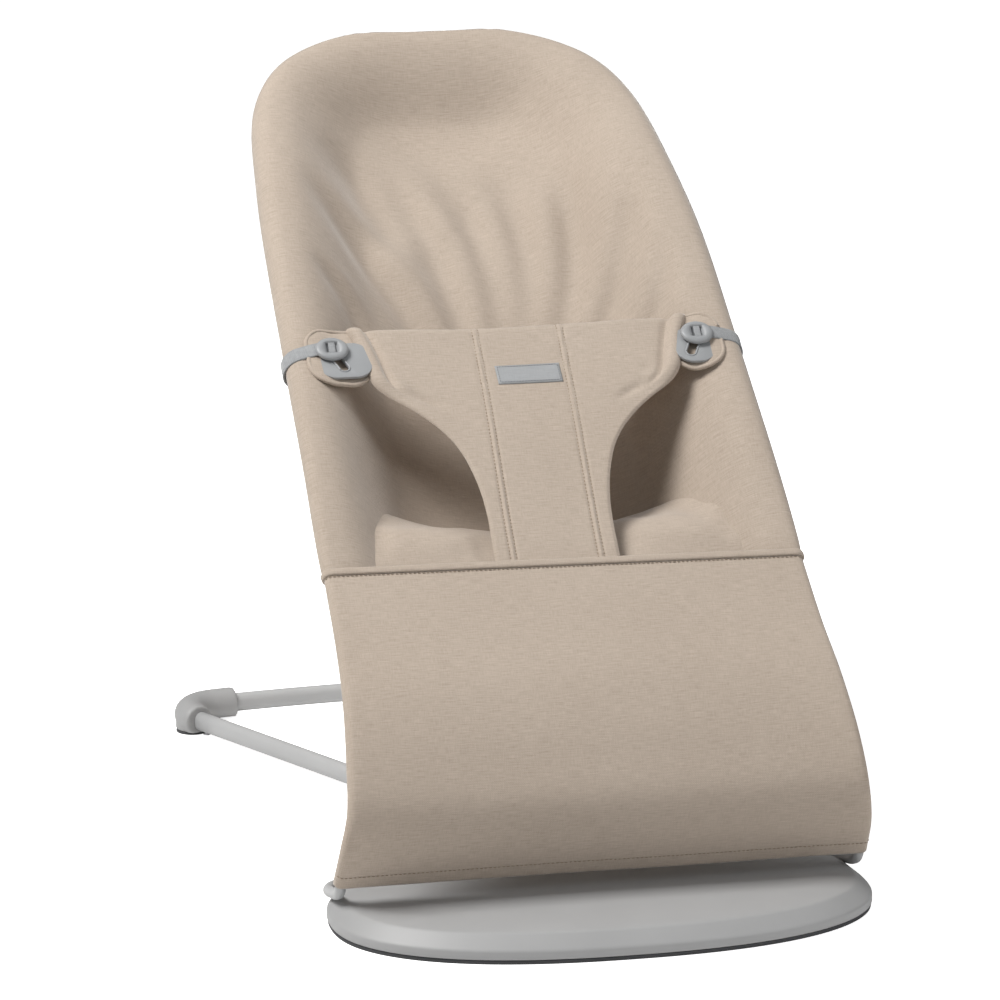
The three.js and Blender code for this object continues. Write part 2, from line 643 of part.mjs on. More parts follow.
// Oval head with an upright slot on each side of a bar for the webbing, a shank through the keyhole plate and
// a foot under it.
function buttonPiece(sign) {
  const middle = (BUTTON.headLow + BUTTON.headHigh) / 2;
  const head = new THREE.LatheGeometry(
    [
      [0, BUTTON.headLow],
      [BUTTON.radius - 1.4, BUTTON.headLow],
      [BUTTON.radius, middle - 1],
      [BUTTON.radius, middle + 0.6],
      [BUTTON.radius - 1.6, BUTTON.headHigh],
      [0, BUTTON.headHigh],
    ].map(([radius, z]) => new THREE.Vector2(radius, z)),
    24,
  );
  head.rotateX(Math.PI / 2).scale(BUTTON.stretch, -1, -1);
  const upright = head.attributes.position;
  for (let i = 0; i < upright.count; i++) upright.setZ(i, Math.abs(upright.getZ(i)));
  const facing = solid(head).volume() < 0 ? flipped(head) : head;
  const slots = [-1, 1].map((row) =>
    box(row * 3.2 - 0.9, row * 3.2 + 0.9, -4.2, 4.2, middle, BUTTON.headHigh + 1),
  );
  const shank = post(BUTTON.shank, 9.5, BUTTON.headLow + 0.5, 0, 0, 12);
  const foot = post(BUTTON.foot, 8.9, TAB.plateLow - 0.4, 0, 0, 14);
  const button = cut(join(facing, shank, foot), ...slots);
  return button.translate(sign * BUTTON.x, BUTTON.y, 0);
}

function flipped(geometry) {
  const copy = geometry.clone();
  const index = copy.index.array;
  for (let i = 0; i < index.length; i += 3) [index[i + 1], index[i + 2]] = [index[i + 2], index[i + 1]];
  return copy;
}

// Webbing that goes from the button over the padded edge and round behind the side wire.
function strapBand(sign) {
  const wireX = 162;
  const inner = 12.5;
  const outer = 14;
  const reach = 7.5; // how far the band runs on towards the button
  const width = 12;
  const band = new THREE.Shape();
  band.moveTo(-reach, outer);
  band.lineTo(0, outer);
  band.absarc(0, 0, outer, Math.PI / 2, -Math.PI / 2, true);
  band.lineTo(0, -inner);
  band.absarc(0, 0, inner, -Math.PI / 2, Math.PI / 2, false);
  band.lineTo(-reach, inner);
  band.closePath();
  const strap = new THREE.ExtrudeGeometry(band, { depth: width, bevelEnabled: false, curveSegments: 8 });
  strap.rotateX(Math.PI / 2).translate(wireX, BUTTON.y - 2 + width / 2, 0);
  return sign > 0 ? strap : flippedMirror(strap);
}

function flippedMirror(geometry) {
  return flipped(welded(geometry).scale(-1, 1, 1));
}

const LABEL = { x: 5, y: 172, halfWidth: 25, halfHeight: 10, thickness: 0.6 };

function addHarness() {
  addPiece("harness_bib", harnessBib(), beigeCloth, harnessPlane);
  const labelLow = bibHeight(LABEL.y + LABEL.halfHeight) + BIB.thickness + GAP;
  const label = roundedPlate(LABEL.halfWidth, LABEL.halfHeight, 2, labelLow, labelLow + LABEL.thickness);
  addPiece("woven_label", label.translate(LABEL.x, LABEL.y, 0), greyWebbing, harnessPlane);
  for (const [side, sign] of SIDES) {
    const flap = roundedPlate(18, 26, 12, 5.4, 8.2).translate(sign * (BIB.wing + 19.5), 193, 0);
    addPiece("bib_flap_" + side, flap, beigeCloth, harnessPlane);
    addPiece("keyhole_plate_" + side, keyholePlate(sign), buttonPlastic, harnessPlane);
    addPiece("button_" + side, buttonPiece(sign), buttonPlastic, harnessPlane);
    addPiece("strap_" + side, strapBand(sign), greyWebbing, harnessPlane);
  }
}

addFootPlate();
addBaseFrame();
addWires();
addFabric();
addHarness();

export default bouncer;
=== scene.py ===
# %% [markdown]
# # A folding baby bouncer seat
# The seat is a fabric sack pulled over a bent spring wire. It stands on an oval foot plate and a V of
# painted tube. The engineering model fixes where everything is, so this lesson only dresses it: each piece
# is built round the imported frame, in metres, and rides on the body that carries it.

# %% Load the fixed frame
import json
import math

import bmesh
import bpy
import numpy as np
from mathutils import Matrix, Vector, noise


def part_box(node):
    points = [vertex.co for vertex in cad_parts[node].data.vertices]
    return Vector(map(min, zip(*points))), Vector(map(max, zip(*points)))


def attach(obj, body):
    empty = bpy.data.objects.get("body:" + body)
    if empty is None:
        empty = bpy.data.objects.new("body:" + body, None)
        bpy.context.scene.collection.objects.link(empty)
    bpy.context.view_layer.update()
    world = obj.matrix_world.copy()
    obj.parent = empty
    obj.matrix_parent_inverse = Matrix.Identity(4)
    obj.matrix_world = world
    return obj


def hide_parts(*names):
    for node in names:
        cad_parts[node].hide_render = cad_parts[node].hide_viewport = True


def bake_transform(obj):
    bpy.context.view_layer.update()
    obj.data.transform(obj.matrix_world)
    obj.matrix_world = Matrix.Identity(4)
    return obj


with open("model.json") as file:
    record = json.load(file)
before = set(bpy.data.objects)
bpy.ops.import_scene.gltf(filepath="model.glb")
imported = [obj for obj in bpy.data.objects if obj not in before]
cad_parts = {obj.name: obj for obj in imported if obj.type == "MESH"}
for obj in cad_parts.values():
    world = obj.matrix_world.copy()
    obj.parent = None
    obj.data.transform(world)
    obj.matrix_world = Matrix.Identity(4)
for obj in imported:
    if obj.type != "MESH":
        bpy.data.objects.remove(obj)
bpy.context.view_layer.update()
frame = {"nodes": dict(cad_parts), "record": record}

MM = 0.001
LEFT, RIGHT = -1, 1
SIDES = (("left", LEFT), ("right", RIGHT))

# %% [markdown]
# ## The line that everything hangs on
# The seat's side wire gives the cloth its outline, so the lesson starts with the same driving points as the
# frame: half width, depth and height from the lower corner of the leg panel to the top of the back. A
# centripetal Catmull-Rom curve passes through them without loops. A place on it is counted in points, so 6
# is the hem of the leg panel and 15 the top of the back.

# %% The side line and its arc length
SIDE_LINE = np.array([
    (188, 9, 35), (186, -8, 64), (182, -13, 92), (179, 4, 124), (175, 36, 158), (172, 75, 186),
    (170, 135, 229), (166, 208, 285), (162, 290, 342), (158, 374, 401), (151, 454, 448), (140, 530, 490),
    (124, 563, 510), (98, 588, 525), (62, 602, 534), (0, 607, 537),
]) * MM
HEM_PLACE, SEAM_PLACE, TOP_PLACE = 6.0, 7.0, 15.0
SAMPLES_PER_POINT = 60


def catmull_rom(points, per_point):
    """Centripetal Catmull-Rom curve through the points, with the same number of samples in each stretch."""
    mirrored = points.shape[1] == 3 and abs(points[-1][0]) < 1e-9
    after = points[-2] * (-1, 1, 1) if mirrored else 2 * points[-1] - points[-2]
    padded = np.vstack([2 * points[0] - points[1], points, after])
    samples = []
    for i in range(1, len(padded) - 2):
        p0, p1, p2, p3 = padded[i - 1:i + 3]
        k0, k1, k2 = (max(np.linalg.norm(b - a), 1e-9) ** 0.5 for a, b in ((p0, p1), (p1, p2), (p2, p3)))
        m1 = ((p1 - p0) / k0 - (p2 - p0) / (k0 + k1) + (p2 - p1) / k1) * k1
        m2 = ((p2 - p1) / k1 - (p3 - p1) / (k1 + k2) + (p3 - p2) / k2) * k1
        t = np.arange(per_point)[:, None] / per_point
        samples.append((2 * t ** 3 - 3 * t ** 2 + 1) * p1 + (t ** 3 - 2 * t ** 2 + t) * m1
                       + (-2 * t ** 3 + 3 * t ** 2) * p2 + (t ** 3 - t ** 2) * m2)
    return np.vstack(samples + [points[-1:]])


LINE = catmull_rom(SIDE_LINE, SAMPLES_PER_POINT)
PLACES = np.arange(len(LINE)) / SAMPLES_PER_POINT
LENGTHS = np.concatenate([[0], np.cumsum(np.hypot(*np.diff(LINE[:, 1:], axis=0).T))])
TANGENTS = np.gradient(LINE[:, 1:], LENGTHS, axis=0)
TANGENTS /= np.linalg.norm(TANGENTS, axis=1)[:, None]
print("side line %.0f mm from corner to top" % (LENGTHS[-1] / MM))

# %% Places, lengths and points on the seat's surface
# A point of the cloth is given by x across, s up the line and h out of the seat.


def half_width(place):
    return np.interp(place, PLACES, LINE[:, 0])


def length_at(place):
    return np.interp(place, PLACES, LENGTHS)


def place_at(length):
    return np.interp(length, LENGTHS, PLACES)


def on_seat(x, s, h):
    x, s, h = np.broadcast_arrays(x, s, h)
    y, z = np.interp(s, LENGTHS, LINE[:, 1]), np.interp(s, LENGTHS, LINE[:, 2])
    ty, tz = np.interp(s, LENGTHS, TANGENTS[:, 0]), np.interp(s, LENGTHS, TANGENTS[:, 1])
    size = np.hypot(ty, tz)
    return np.stack([x, y - tz / size * h, z + ty / size * h], axis=-1)


def ease(value, low, high):
    t = np.clip((np.asarray(value, float) - low) / (high - low), 0, 1)
    return t * t * (3 - 2 * t)


def bump(value, centre, width):
    return np.exp(-((np.asarray(value, float) - centre) / width) ** 2)


HEM_S, SEAM_S, TOP_S = (float(length_at(p)) for p in (HEM_PLACE, SEAM_PLACE, TOP_PLACE))
print("hem at %.0f mm, hip seam at %.0f mm, top at %.0f mm" % (HEM_S / MM, SEAM_S / MM, TOP_S / MM))

# %% [markdown]
# ## The camera
# A long lens a little above the seat and to its left, with no shift. The camera comes before the pieces so
# that every later cell can be checked through it.

# %% Make the camera
CAMERA_PLACE = Vector((-806.5, -3242.6, 1105.5)) * MM
CAMERA_FORWARD = Vector((0.21359, 0.94854, -0.23378))
LENS_MM = 179.1

camera_data = bpy.data.cameras.new("camera")
camera_data.lens = LENS_MM
camera_data.sensor_width = 36
camera = bpy.data.objects.new("camera", camera_data)
camera.location = CAMERA_PLACE
camera.rotation_euler = CAMERA_FORWARD.to_track_quat("-Z", "Y").to_euler()
bpy.context.scene.collection.objects.link(camera)
bpy.context.scene.camera = camera
print("camera at", [round(v, 3) for v in camera.location])

# %% [markdown]
# ## Shader node groups
# Several finishes share an effect: all the cloth is one heathered weave, and all the mouldings have the
# same fine grain. Each effect is a node group with named inputs, built once. A group only puts out colours
# and values; the Principled shader stays in the material, where an exporter can read it.


# %% A helper that builds node groups
def new_group(name, inputs, outputs):
    group = bpy.data.node_groups.new(name, "ShaderNodeTree")
    for title, kind, value in inputs:
        socket = group.interface.new_socket(title, in_out="INPUT", socket_type=kind)
        if value is not None:
            socket.default_value = value
    for title, kind in outputs:
        group.interface.new_socket(title, in_out="OUTPUT", socket_type=kind)
    return group, group.nodes.new("NodeGroupInput"), group.nodes.new("NodeGroupOutput")


def math_node(tree, operation, a, b=None, c=None, clamp=False):
    node = tree.nodes.new("ShaderNodeMath")
    node.operation, node.use_clamp = operation, clamp
    for socket, value in zip(node.inputs, (a, b, c)):
        if value is None:
            continue
        if isinstance(value, (int, float)):
            socket.default_value = value
        else:
            tree.links.new(value, socket)
    return node.outputs[0]


def mixed_colour(tree, share, first, second):
    node = tree.nodes.new("ShaderNodeMix")
    node.data_type = "RGBA"
    for socket, value in ((node.inputs[0], share), (node.inputs[6], first), (node.inputs[7], second)):
        if isinstance(value, (int, float, tuple)):
            socket.default_value = value
        else:
            tree.links.new(value, socket)
    return node.outputs[2]


def noise_value(tree, vector, scale, detail=2.0, roughness=0.5):
    node = tree.nodes.new("ShaderNodeTexNoise")
    node.inputs["Scale"].default_value = scale
    node.inputs["Detail"].default_value = detail
    node.inputs["Roughness"].default_value = roughness
    tree.links.new(vector, node.inputs["Vector"])
    return node.outputs["Fac"]


def stretched(tree, vector, scale):
    node = tree.nodes.new("ShaderNodeMapping")
    node.inputs["Scale"].default_value = scale
    tree.links.new(vector, node.inputs["Vector"])
    return node.outputs[0]


# %% [markdown]
# ### Heathered weave
# Cotton cloth of this kind is woven from yarns that each vary a little in shade, so it shows short streaks
# along both thread directions, stronger across the seat. The group takes the piece's own UV map, which is
# in metres of flat cloth, so the threads have one size on every piece. Two crossed waves give the over and
# under of the threads for the bump.

# %% Build the weave group
THREAD = 0.62 * MM


def weave_group():
    tree, given, out = new_group(
        "heathered_weave",
        [("Cloth metres", "NodeSocketVector", None), ("Light yarn", "NodeSocketColor", (0.62, 0.53, 0.43, 1)),
         ("Dark yarn", "NodeSocketColor", (0.40, 0.32, 0.24, 1)), ("Streak", "NodeSocketFloat", 0.5)],
        [("Color", "NodeSocketColor"), ("Height", "NodeSocketFloat")],
    )
    cloth = given.outputs["Cloth metres"]
    across = noise_value(tree, stretched(tree, cloth, (90, 1500, 1)), 1.0, 3.0, 0.6)
    along = noise_value(tree, stretched(tree, cloth, (1500, 140, 1)), 1.0, 2.0, 0.6)
    soft = noise_value(tree, cloth, 9.0, 3.0, 0.55)
    streaks = math_node(tree, "MULTIPLY_ADD", math_node(tree, "SUBTRACT", across, 0.5), 1.5, 0.0)
    cross = math_node(tree, "MULTIPLY_ADD", math_node(tree, "SUBTRACT", along, 0.5), 0.8, 0.0)
    patch = math_node(tree, "MULTIPLY_ADD", math_node(tree, "SUBTRACT", soft, 0.5), 0.35, 0.0)
    total = math_node(tree, "ADD", math_node(tree, "ADD", streaks, cross), patch)
    share = math_node(tree, "MULTIPLY_ADD", total, given.outputs["Streak"], 0.42, clamp=True)
    tree.links.new(mixed_colour(tree, share, given.outputs["Light yarn"], given.outputs["Dark yarn"]),
                   out.inputs["Color"])
    split = tree.nodes.new("ShaderNodeSeparateXYZ")
    tree.links.new(cloth, split.inputs[0])
    pitch = 2 * math.pi / (2 * THREAD)
    warp = math_node(tree, "SINE", math_node(tree, "MULTIPLY", split.outputs[0], pitch))
    weft = math_node(tree, "SINE", math_node(tree, "MULTIPLY", split.outputs[1], pitch))
    threads = math_node(tree, "MULTIPLY", warp, weft)
    height = math_node(tree, "MULTIPLY_ADD", threads, 0.5, math_node(tree, "MULTIPLY", across, 0.8))
    tree.links.new(height, out.inputs["Height"])
    return tree


WEAVE = weave_group()
print("weave group,", len(WEAVE.nodes), "nodes, thread", THREAD / MM, "mm")

# %% [markdown]
# ### Moulded grain and edge wear
# Plastic mouldings and powder-coated tube are never quite even: a fine texture breaks up the highlight, and
# handling leaves faint lighter patches. The group reads object coordinates, so a pattern stays with its
# piece.


# %% Build the grain group
def grain_group():
    tree, given, out = new_group(
        "moulded_grain",
        [("Place", "NodeSocketVector", None), ("Base", "NodeSocketColor", (0.5, 0.5, 0.5, 1)),
         ("Scuffed", "NodeSocketColor", (0.6, 0.6, 0.6, 1)), ("Grain per metre", "NodeSocketFloat", 1400.0),
         ("Roughness", "NodeSocketFloat", 0.5), ("Roughness range", "NodeSocketFloat", 0.1)],
        [("Color", "NodeSocketColor"), ("Roughness", "NodeSocketFloat"), ("Height", "NodeSocketFloat")],
    )
    place = given.outputs["Place"]
    fine = tree.nodes.new("ShaderNodeTexNoise")
    fine.inputs["Detail"].default_value = 3.0
    tree.links.new(place, fine.inputs["Vector"])
    tree.links.new(given.outputs["Grain per metre"], fine.inputs["Scale"])
    patches = noise_value(tree, place, 22.0, 4.0, 0.6)
    scuff = math_node(tree, "MULTIPLY_ADD", patches, 1.6, -0.55, clamp=True)
    tree.links.new(mixed_colour(tree, scuff, given.outputs["Base"], given.outputs["Scuffed"]),
                   out.inputs["Color"])
    swing = math_node(tree, "MULTIPLY", math_node(tree, "SUBTRACT", patches, 0.5),
                      given.outputs["Roughness range"])
    tree.links.new(math_node(tree, "ADD", given.outputs["Roughness"], swing), out.inputs["Roughness"])
    tree.links.new(fine.outputs["Fac"], out.inputs["Height"])
    return tree


GRAIN = grain_group()
print("grain group,", len(GRAIN.nodes), "nodes")


# %% Material makers
def new_material(name):
    material = bpy.data.materials.new(name)
    material.use_nodes = True
    return material, material.node_tree, material.node_tree.nodes["Principled BSDF"]


def add_bump(tree, shader, height, strength, distance):
    node = tree.nodes.new("ShaderNodeBump")
    node.inputs["Strength"].default_value = strength
    node.inputs["Distance"].default_value = distance
    tree.links.new(height, node.inputs["Height"])
    tree.links.new(node.outputs[0], shader.inputs["Normal"])


def cloth_material(name, light, dark, streak, bump_strength=0.35):
    material, tree, shader = new_material(name)
    uv = tree.nodes.new("ShaderNodeUVMap")
    uv.uv_map = "cloth"
    weave = tree.nodes.new("ShaderNodeGroup")
    weave.node_tree = WEAVE
    weave.inputs["Light yarn"].default_value = (*light, 1)
    weave.inputs["Dark yarn"].default_value = (*dark, 1)
    weave.inputs["Streak"].default_value = streak
    tree.links.new(uv.outputs[0], weave.inputs["Cloth metres"])
    tree.links.new(weave.outputs["Color"], shader.inputs["Base Color"])
    shader.inputs["Roughness"].default_value = 0.92
    shader.inputs["Specular IOR Level"].default_value = 0.25
    shader.inputs["Sheen Weight"].default_value = 0.55
    shader.inputs["Sheen Roughness"].default_value = 0.35
    add_bump(tree, shader, weave.outputs["Height"], bump_strength, 0.25 * MM)
    return material


def moulded_material(name, base, scuffed, grain, roughness, metallic=0.0, bump_strength=0.15):
    material, tree, shader = new_material(name)
    coordinates = tree.nodes.new("ShaderNodeTexCoord")
    group = tree.nodes.new("ShaderNodeGroup")
    group.node_tree = GRAIN
    group.inputs["Base"].default_value = (*base, 1)
    group.inputs["Scuffed"].default_value = (*scuffed, 1)
    group.inputs["Grain per metre"].default_value = grain
    group.inputs["Roughness"].default_value = roughness
    tree.links.new(coordinates.outputs["Object"], group.inputs["Place"])
    tree.links.new(group.outputs["Color"], shader.inputs["Base Color"])
    tree.links.new(group.outputs["Roughness"], shader.inputs["Roughness"])
    shader.inputs["Metallic"].default_value = metallic
    add_bump(tree, shader, group.outputs["Height"], bump_strength, 0.2 * MM)
    return material


# %% [markdown]
# ### The finishes of this seat
# One sand-beige cloth for the whole sack, two greys of plastic, light grey powder coat, grey webbing and
# label cloth, rubber, two threads and bright steel.

# %% Make the finishes
BEIGE_CLOTH = cloth_material("beige_cloth", (0.56, 0.478, 0.402), (0.335, 0.27, 0.215), 0.8)
WEBBING = cloth_material("grey_webbing", (0.42, 0.43, 0.44), (0.22, 0.23, 0.24), 0.8, 0.8)
LABEL_CLOTH = cloth_material("label_cloth", (0.44, 0.45, 0.46), (0.27, 0.28, 0.29), 0.6, 0.6)
PLATE_PLASTIC = moulded_material("plate_plastic", (0.37, 0.372, 0.375), (0.40, 0.402, 0.405), 1100, 0.5)
BUTTON_PLASTIC = moulded_material("button_plastic", (0.30, 0.31, 0.32), (0.35, 0.36, 0.37), 1800, 0.42)
POWDER_COAT = moulded_material("powder_coat", (0.46, 0.465, 0.47), (0.50, 0.505, 0.51), 900, 0.42, 0.0, 0.2)
RUBBER = moulded_material("dark_rubber", (0.055, 0.057, 0.06), (0.09, 0.09, 0.095), 1500, 0.8)
STEEL = moulded_material("bright_steel", (0.50, 0.50, 0.52), (0.6, 0.6, 0.62), 700, 0.35, 1.0)
THREAD_MATERIAL = moulded_material("sewing_thread", (0.30, 0.24, 0.18), (0.36, 0.29, 0.22), 2500, 0.8)
GREY_THREAD = moulded_material("grey_thread", (0.16, 0.165, 0.17), (0.2, 0.2, 0.21), 2500, 0.8)
print("finishes", len(bpy.data.materials))

# %% [markdown]
# ## Mesh helpers
# Nearly every piece is a grid, a sweep or a turned shape, so three small builders cover them. A grid also
# stores its flat size in a UV map called cloth. A strip of faces that should shade smoothly is marked
# smooth.


# %% Build grids and sweeps
def add_mesh(name, verts, faces, material, uvs=None, smooth=True):
    mesh = bpy.data.meshes.new(name)
    mesh.from_pydata([tuple(map(float, v)) for v in verts], [], faces)
    if uvs is not None:
        layer = mesh.uv_layers.new(name="cloth")
        loops = np.empty(len(mesh.loops), dtype=np.int32)
        mesh.loops.foreach_get("vertex_index", loops)
        layer.data.foreach_set("uv", np.asarray(uvs, float)[loops].ravel())
    if smooth:
        mesh.shade_smooth()
    mesh.materials.append(material)
    piece = bpy.data.objects.new(name, mesh)
    bpy.context.scene.collection.objects.link(piece)
    return piece


def grid_faces(rows, columns, close_rows=False, flip=False):
    faces = []
    for j in range(rows if close_rows else rows - 1):
        k = (j + 1) % rows
        for i in range(columns - 1):
            quad = (j * columns + i, j * columns + i + 1, k * columns + i + 1, k * columns + i)
            faces.append(quad[::-1] if flip else quad)
    return faces


def grid_piece(name, points, material, uvs, flip=False):
    """A sheet from an array of points, rows by columns by 3, with its flat coordinates."""
    rows, columns = points.shape[:2]
    return add_mesh(name, points.reshape(-1, 3), grid_faces(rows, columns, flip=flip), material,
                    np.asarray(uvs).reshape(-1, 2))


def ring_faces(rings, sides, flip=False, closed=False):
    """Faces of a stack of rings, capped at both ends, or with its last ring joined to the first if closed."""
    faces = []
    for j in range(rings if closed else rings - 1):
        n = (j + 1) % rings
        for i in range(sides):
            k = (i + 1) % sides
            if flip:
                faces.append((j * sides + i, j * sides + k, n * sides + k, n * sides + i))
            else:
                faces.append((j * sides + i, n * sides + i, n * sides + k, j * sides + k))
    if not closed:
        first, last = tuple(range(sides)), tuple(range((rings - 1) * sides, rings * sides))
        faces += [first[::-1], last] if flip else [first, last[::-1]]
    return faces


def sweep(path, section, up=(0, 0, 1)):
    """Vertices and faces of a closed section carried along a path, with flat ends."""
    path = np.asarray(path, float)
    tangent = np.gradient(path, axis=0)
    tangent /= np.linalg.norm(tangent, axis=1)[:, None]
    side = np.cross(tangent, np.asarray(up, float))
    side /= np.linalg.norm(side, axis=1)[:, None]
    top = np.cross(side, tangent)
    section = np.asarray(section, float)
    points = (path[:, None] + side[:, None] * section[None, :, :1] + top[:, None] * section[None, :, 1:])
    return points.reshape(-1, 3), ring_faces(len(path), len(section))


def circle(radius, sides=20):
    angles = np.linspace(0, 2 * math.pi, sides, endpoint=False)
    return np.stack([np.cos(angles), np.sin(angles)], axis=1) * radius


def oblong(width, height, sides=12):
    """Flat-sided section, width across and height up."""
    radius = width / 2
    reach = height / 2 - radius
    arc = np.linspace(0, math.pi, sides)
    upper = np.stack([np.cos(arc) * radius, np.sin(arc) * radius + reach], axis=1)
    return np.vstack([upper, -upper])


def facing_out(piece):
    """Welds a closed piece and turns its faces outwards."""
    work = bmesh.new()
    work.from_mesh(piece.data)
    bmesh.ops.remove_doubles(work, verts=work.verts, dist=1e-6)
    bmesh.ops.recalc_face_normals(work, faces=work.faces)
    work.to_mesh(piece.data)
    work.free()
    return piece


def swept_piece(name, path, section, material, up=(0, 0, 1)):
    verts, faces = sweep(path, section, up)
    return facing_out(add_mesh(name, verts, faces, material))


def applied(piece):
    """Turns live modifiers into plain mesh."""
    graph = bpy.context.evaluated_depsgraph_get()
    mesh = bpy.data.meshes.new_from_object(piece.evaluated_get(graph), preserve_all_data_layers=True,
                                           depsgraph=graph)
    piece.modifiers.clear()
    old, piece.data = piece.data, mesh
    bpy.data.meshes.remove(old)
    return piece


def solidified(piece, thickness):
    shell = piece.modifiers.new("thickness", "SOLIDIFY")
    shell.thickness, shell.offset = thickness, -1.0
    return applied(piece)


def edge_rounded(piece, width, segments=3, angle=35):
    bevel = piece.modifiers.new("edges", "BEVEL")
    bevel.width, bevel.segments = width, segments
    bevel.limit_method, bevel.angle_limit = "ANGLE", math.radians(angle)
    return applied(piece)


def finished(piece, body, replaces=()):
    """Puts a piece on the body that carries it and hides the frame nodes that it stands for."""
    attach(piece, body)
    if replaces:
        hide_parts(*replaces)
    return piece


print("mesh helpers ready")

# %% [markdown]
# ## The foot plate
# A moulded oval with a low upright wall, a wide sloping rim and a flat top. It could be a box model with a
# subdivision surface, but an oval whose every ring is known is cleaner: a superellipse is turned through a
# short profile of insets and heights, with extra points where an edge is rounded.

# %% Turn the oval plate
PLATE_LOW, PLATE_HIGH = (Vector(c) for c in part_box("foot_plate"))
PLATE_HALF = (PLATE_HIGH.x, (PLATE_HIGH.y - PLATE_LOW.y) / 2)
PLATE_MIDDLE_Y = (PLATE_HIGH.y + PLATE_LOW.y) / 2
OVAL_POWER = 2.35
OVAL_SEGMENTS = 192


def oval_ring(inset, z):
    angles = np.linspace(0, 2 * math.pi, OVAL_SEGMENTS, endpoint=False)
    cosine, sine = np.cos(angles), np.sin(angles)
    power = 2 / OVAL_POWER
    x = (PLATE_HALF[0] - inset) * np.sign(cosine) * np.abs(cosine) ** power
    y = (PLATE_HALF[1] - inset) * np.sign(sine) * np.abs(sine) ** power
    return np.stack([x, PLATE_MIDDLE_Y + y, np.full_like(x, z)], axis=1)


def turned_oval(name, profile, material, closed=True):
    """A ring or a plate from [inset, height] points in mm; an open profile is capped at both ends."""
    rings = [oval_ring(inset * MM, z * MM) for inset, z in profile]
    faces = ring_faces(len(rings), OVAL_SEGMENTS, flip=True, closed=closed)
    return facing_out(add_mesh(name, np.vstack(rings), faces, material))


plate_shell = turned_oval(
    "foot_plate_shell",
    [(95, 18.8), (22, 18.8), (13.2, 17.4), (2.2, 8.4), (2.2, 3.3), (0.5, 3.3), (0.1, 3.6), (0, 4.2), (0, 8.4),
     (0.2, 9.2), (0.8, 10.1), (1.8, 11), (10, 17.9), (11.2, 18.8), (12.4, 19.3), (14, 19.6), (18, 20.1),
     (24, 20.7), (32, 21), (60, 21), (95, 21)],
    PLATE_PLASTIC, closed=False,
)
print("plate shell", len(plate_shell.data.polygons), "faces")

# %% [markdown]
# The rubber ring under the plate shows only as a thin dark line, so it is a plain turned band.

# %% Add the rubber ring
sole_ring = turned_oval("sole_ring_band", [(1.2, 0), (0.7, 0.4), (0.5, 2.6), (1, 3), (8, 3), (8, 0)], RUBBER)
finished(plate_shell, "base", ["foot_plate"])
finished(sole_ring, "base", ["sole_ring"])
print("rubber ring", len(sole_ring.data.polygons), "faces")

# %% [markdown]
# ## The base frame
# Two rails of flat-sided tube run back in a V to moulded corners, and a bowed crossbar joins them. Each
# tube is a section swept along its own line, which keeps the flat sides upright through the bend.

# %% Sweep the rails and the crossbar
TUBE_WIDTH, TUBE_HEIGHT, TUBE_Z = 12 * MM, 15 * MM, 11.5 * MM
CORNER_X, CORNER_Y, CORNER_Z = 208 * MM, 530 * MM, 11.5 * MM
BAR_REACH, BAR_Y, BAR_BOW = 192 * MM, 561 * MM, 30 * MM


def bezier(points, count):
    t = np.linspace(0, 1, count)[:, None]
    a, b, c = (np.asarray(p, float) for p in points)
    return (1 - t) ** 2 * a + 2 * t * (1 - t) * b + t ** 2 * c


def rail_path(sign):
    far, bend, near = (np.array(p) * MM for p in ((203.5, 516, 0), (36.5, 187, 0), (14, 120, 0)))
    straight = np.linspace(far, bend, 12)
    turn = bezier((bend, (14 * MM, 143 * MM, 0), near), 24)
    home = np.linspace(near, (near[0], 105 * MM, 0), 4)
    path = np.vstack([straight[:-1], turn[:-1], home])
    return path * (sign, 1, 1) + (0, 0, TUBE_Z)


bar_path = bezier(((-BAR_REACH, BAR_Y, TUBE_Z), (0, BAR_Y + BAR_BOW, TUBE_Z), (BAR_REACH, BAR_Y, TUBE_Z)), 64)
tube_section = oblong(TUBE_WIDTH, TUBE_HEIGHT)
for side, sign in SIDES:
    rail = swept_piece("rail_tube_" + side, rail_path(sign), tube_section, POWDER_COAT)
    finished(rail, "base", ["rail_" + side])
crossbar = swept_piece("crossbar_tube", bar_path, tube_section, POWDER_COAT)
finished(crossbar, "base", ["rear_crossbar"])
print("tubes", len(crossbar.data.polygons), "faces on the crossbar")

# %% [markdown]
# ### The corner pieces
# A real corner is one moulding: a bent sleeve that takes the crossbar at one end and the rail at the other,
# on a round foot. Here the sleeve and the foot are joined by a voxel remesh, which melts them together the
# way a moulded fillet does, and a smoothing pass takes the steps away.


# %% Mould the corners
FOOT_SIDES = 32
SOLE_HEIGHT = 2.3 * MM


def lathe_rings(path, radii, sides=28):
    """A round bar along a path with a radius at each point, closed to a point at both ends."""
    path = np.asarray(path, float)
    tangent = np.gradient(path, axis=0)
    tangent /= np.linalg.norm(tangent, axis=1)[:, None]
    side = np.cross(tangent, (0, 0, 1.0))
    top = np.cross(side, tangent)
    angles = np.linspace(0, 2 * math.pi, sides, endpoint=False)
    ring = np.cos(angles)[:, None, None] * side[None] + np.sin(angles)[:, None, None] * top[None]
    points = path[None] + ring * np.asarray(radii)[None, :, None]
    return points.transpose(1, 0, 2).reshape(-1, 3), ring_faces(len(path), sides)


def merged_lumps(lumps):
    verts, faces = [], []
    for lump_verts, lump_faces in lumps:
        start = sum(len(v) for v in verts)
        verts.append(lump_verts)
        faces += [tuple(i + start for i in face) for face in lump_faces]
    return np.vstack(verts), faces


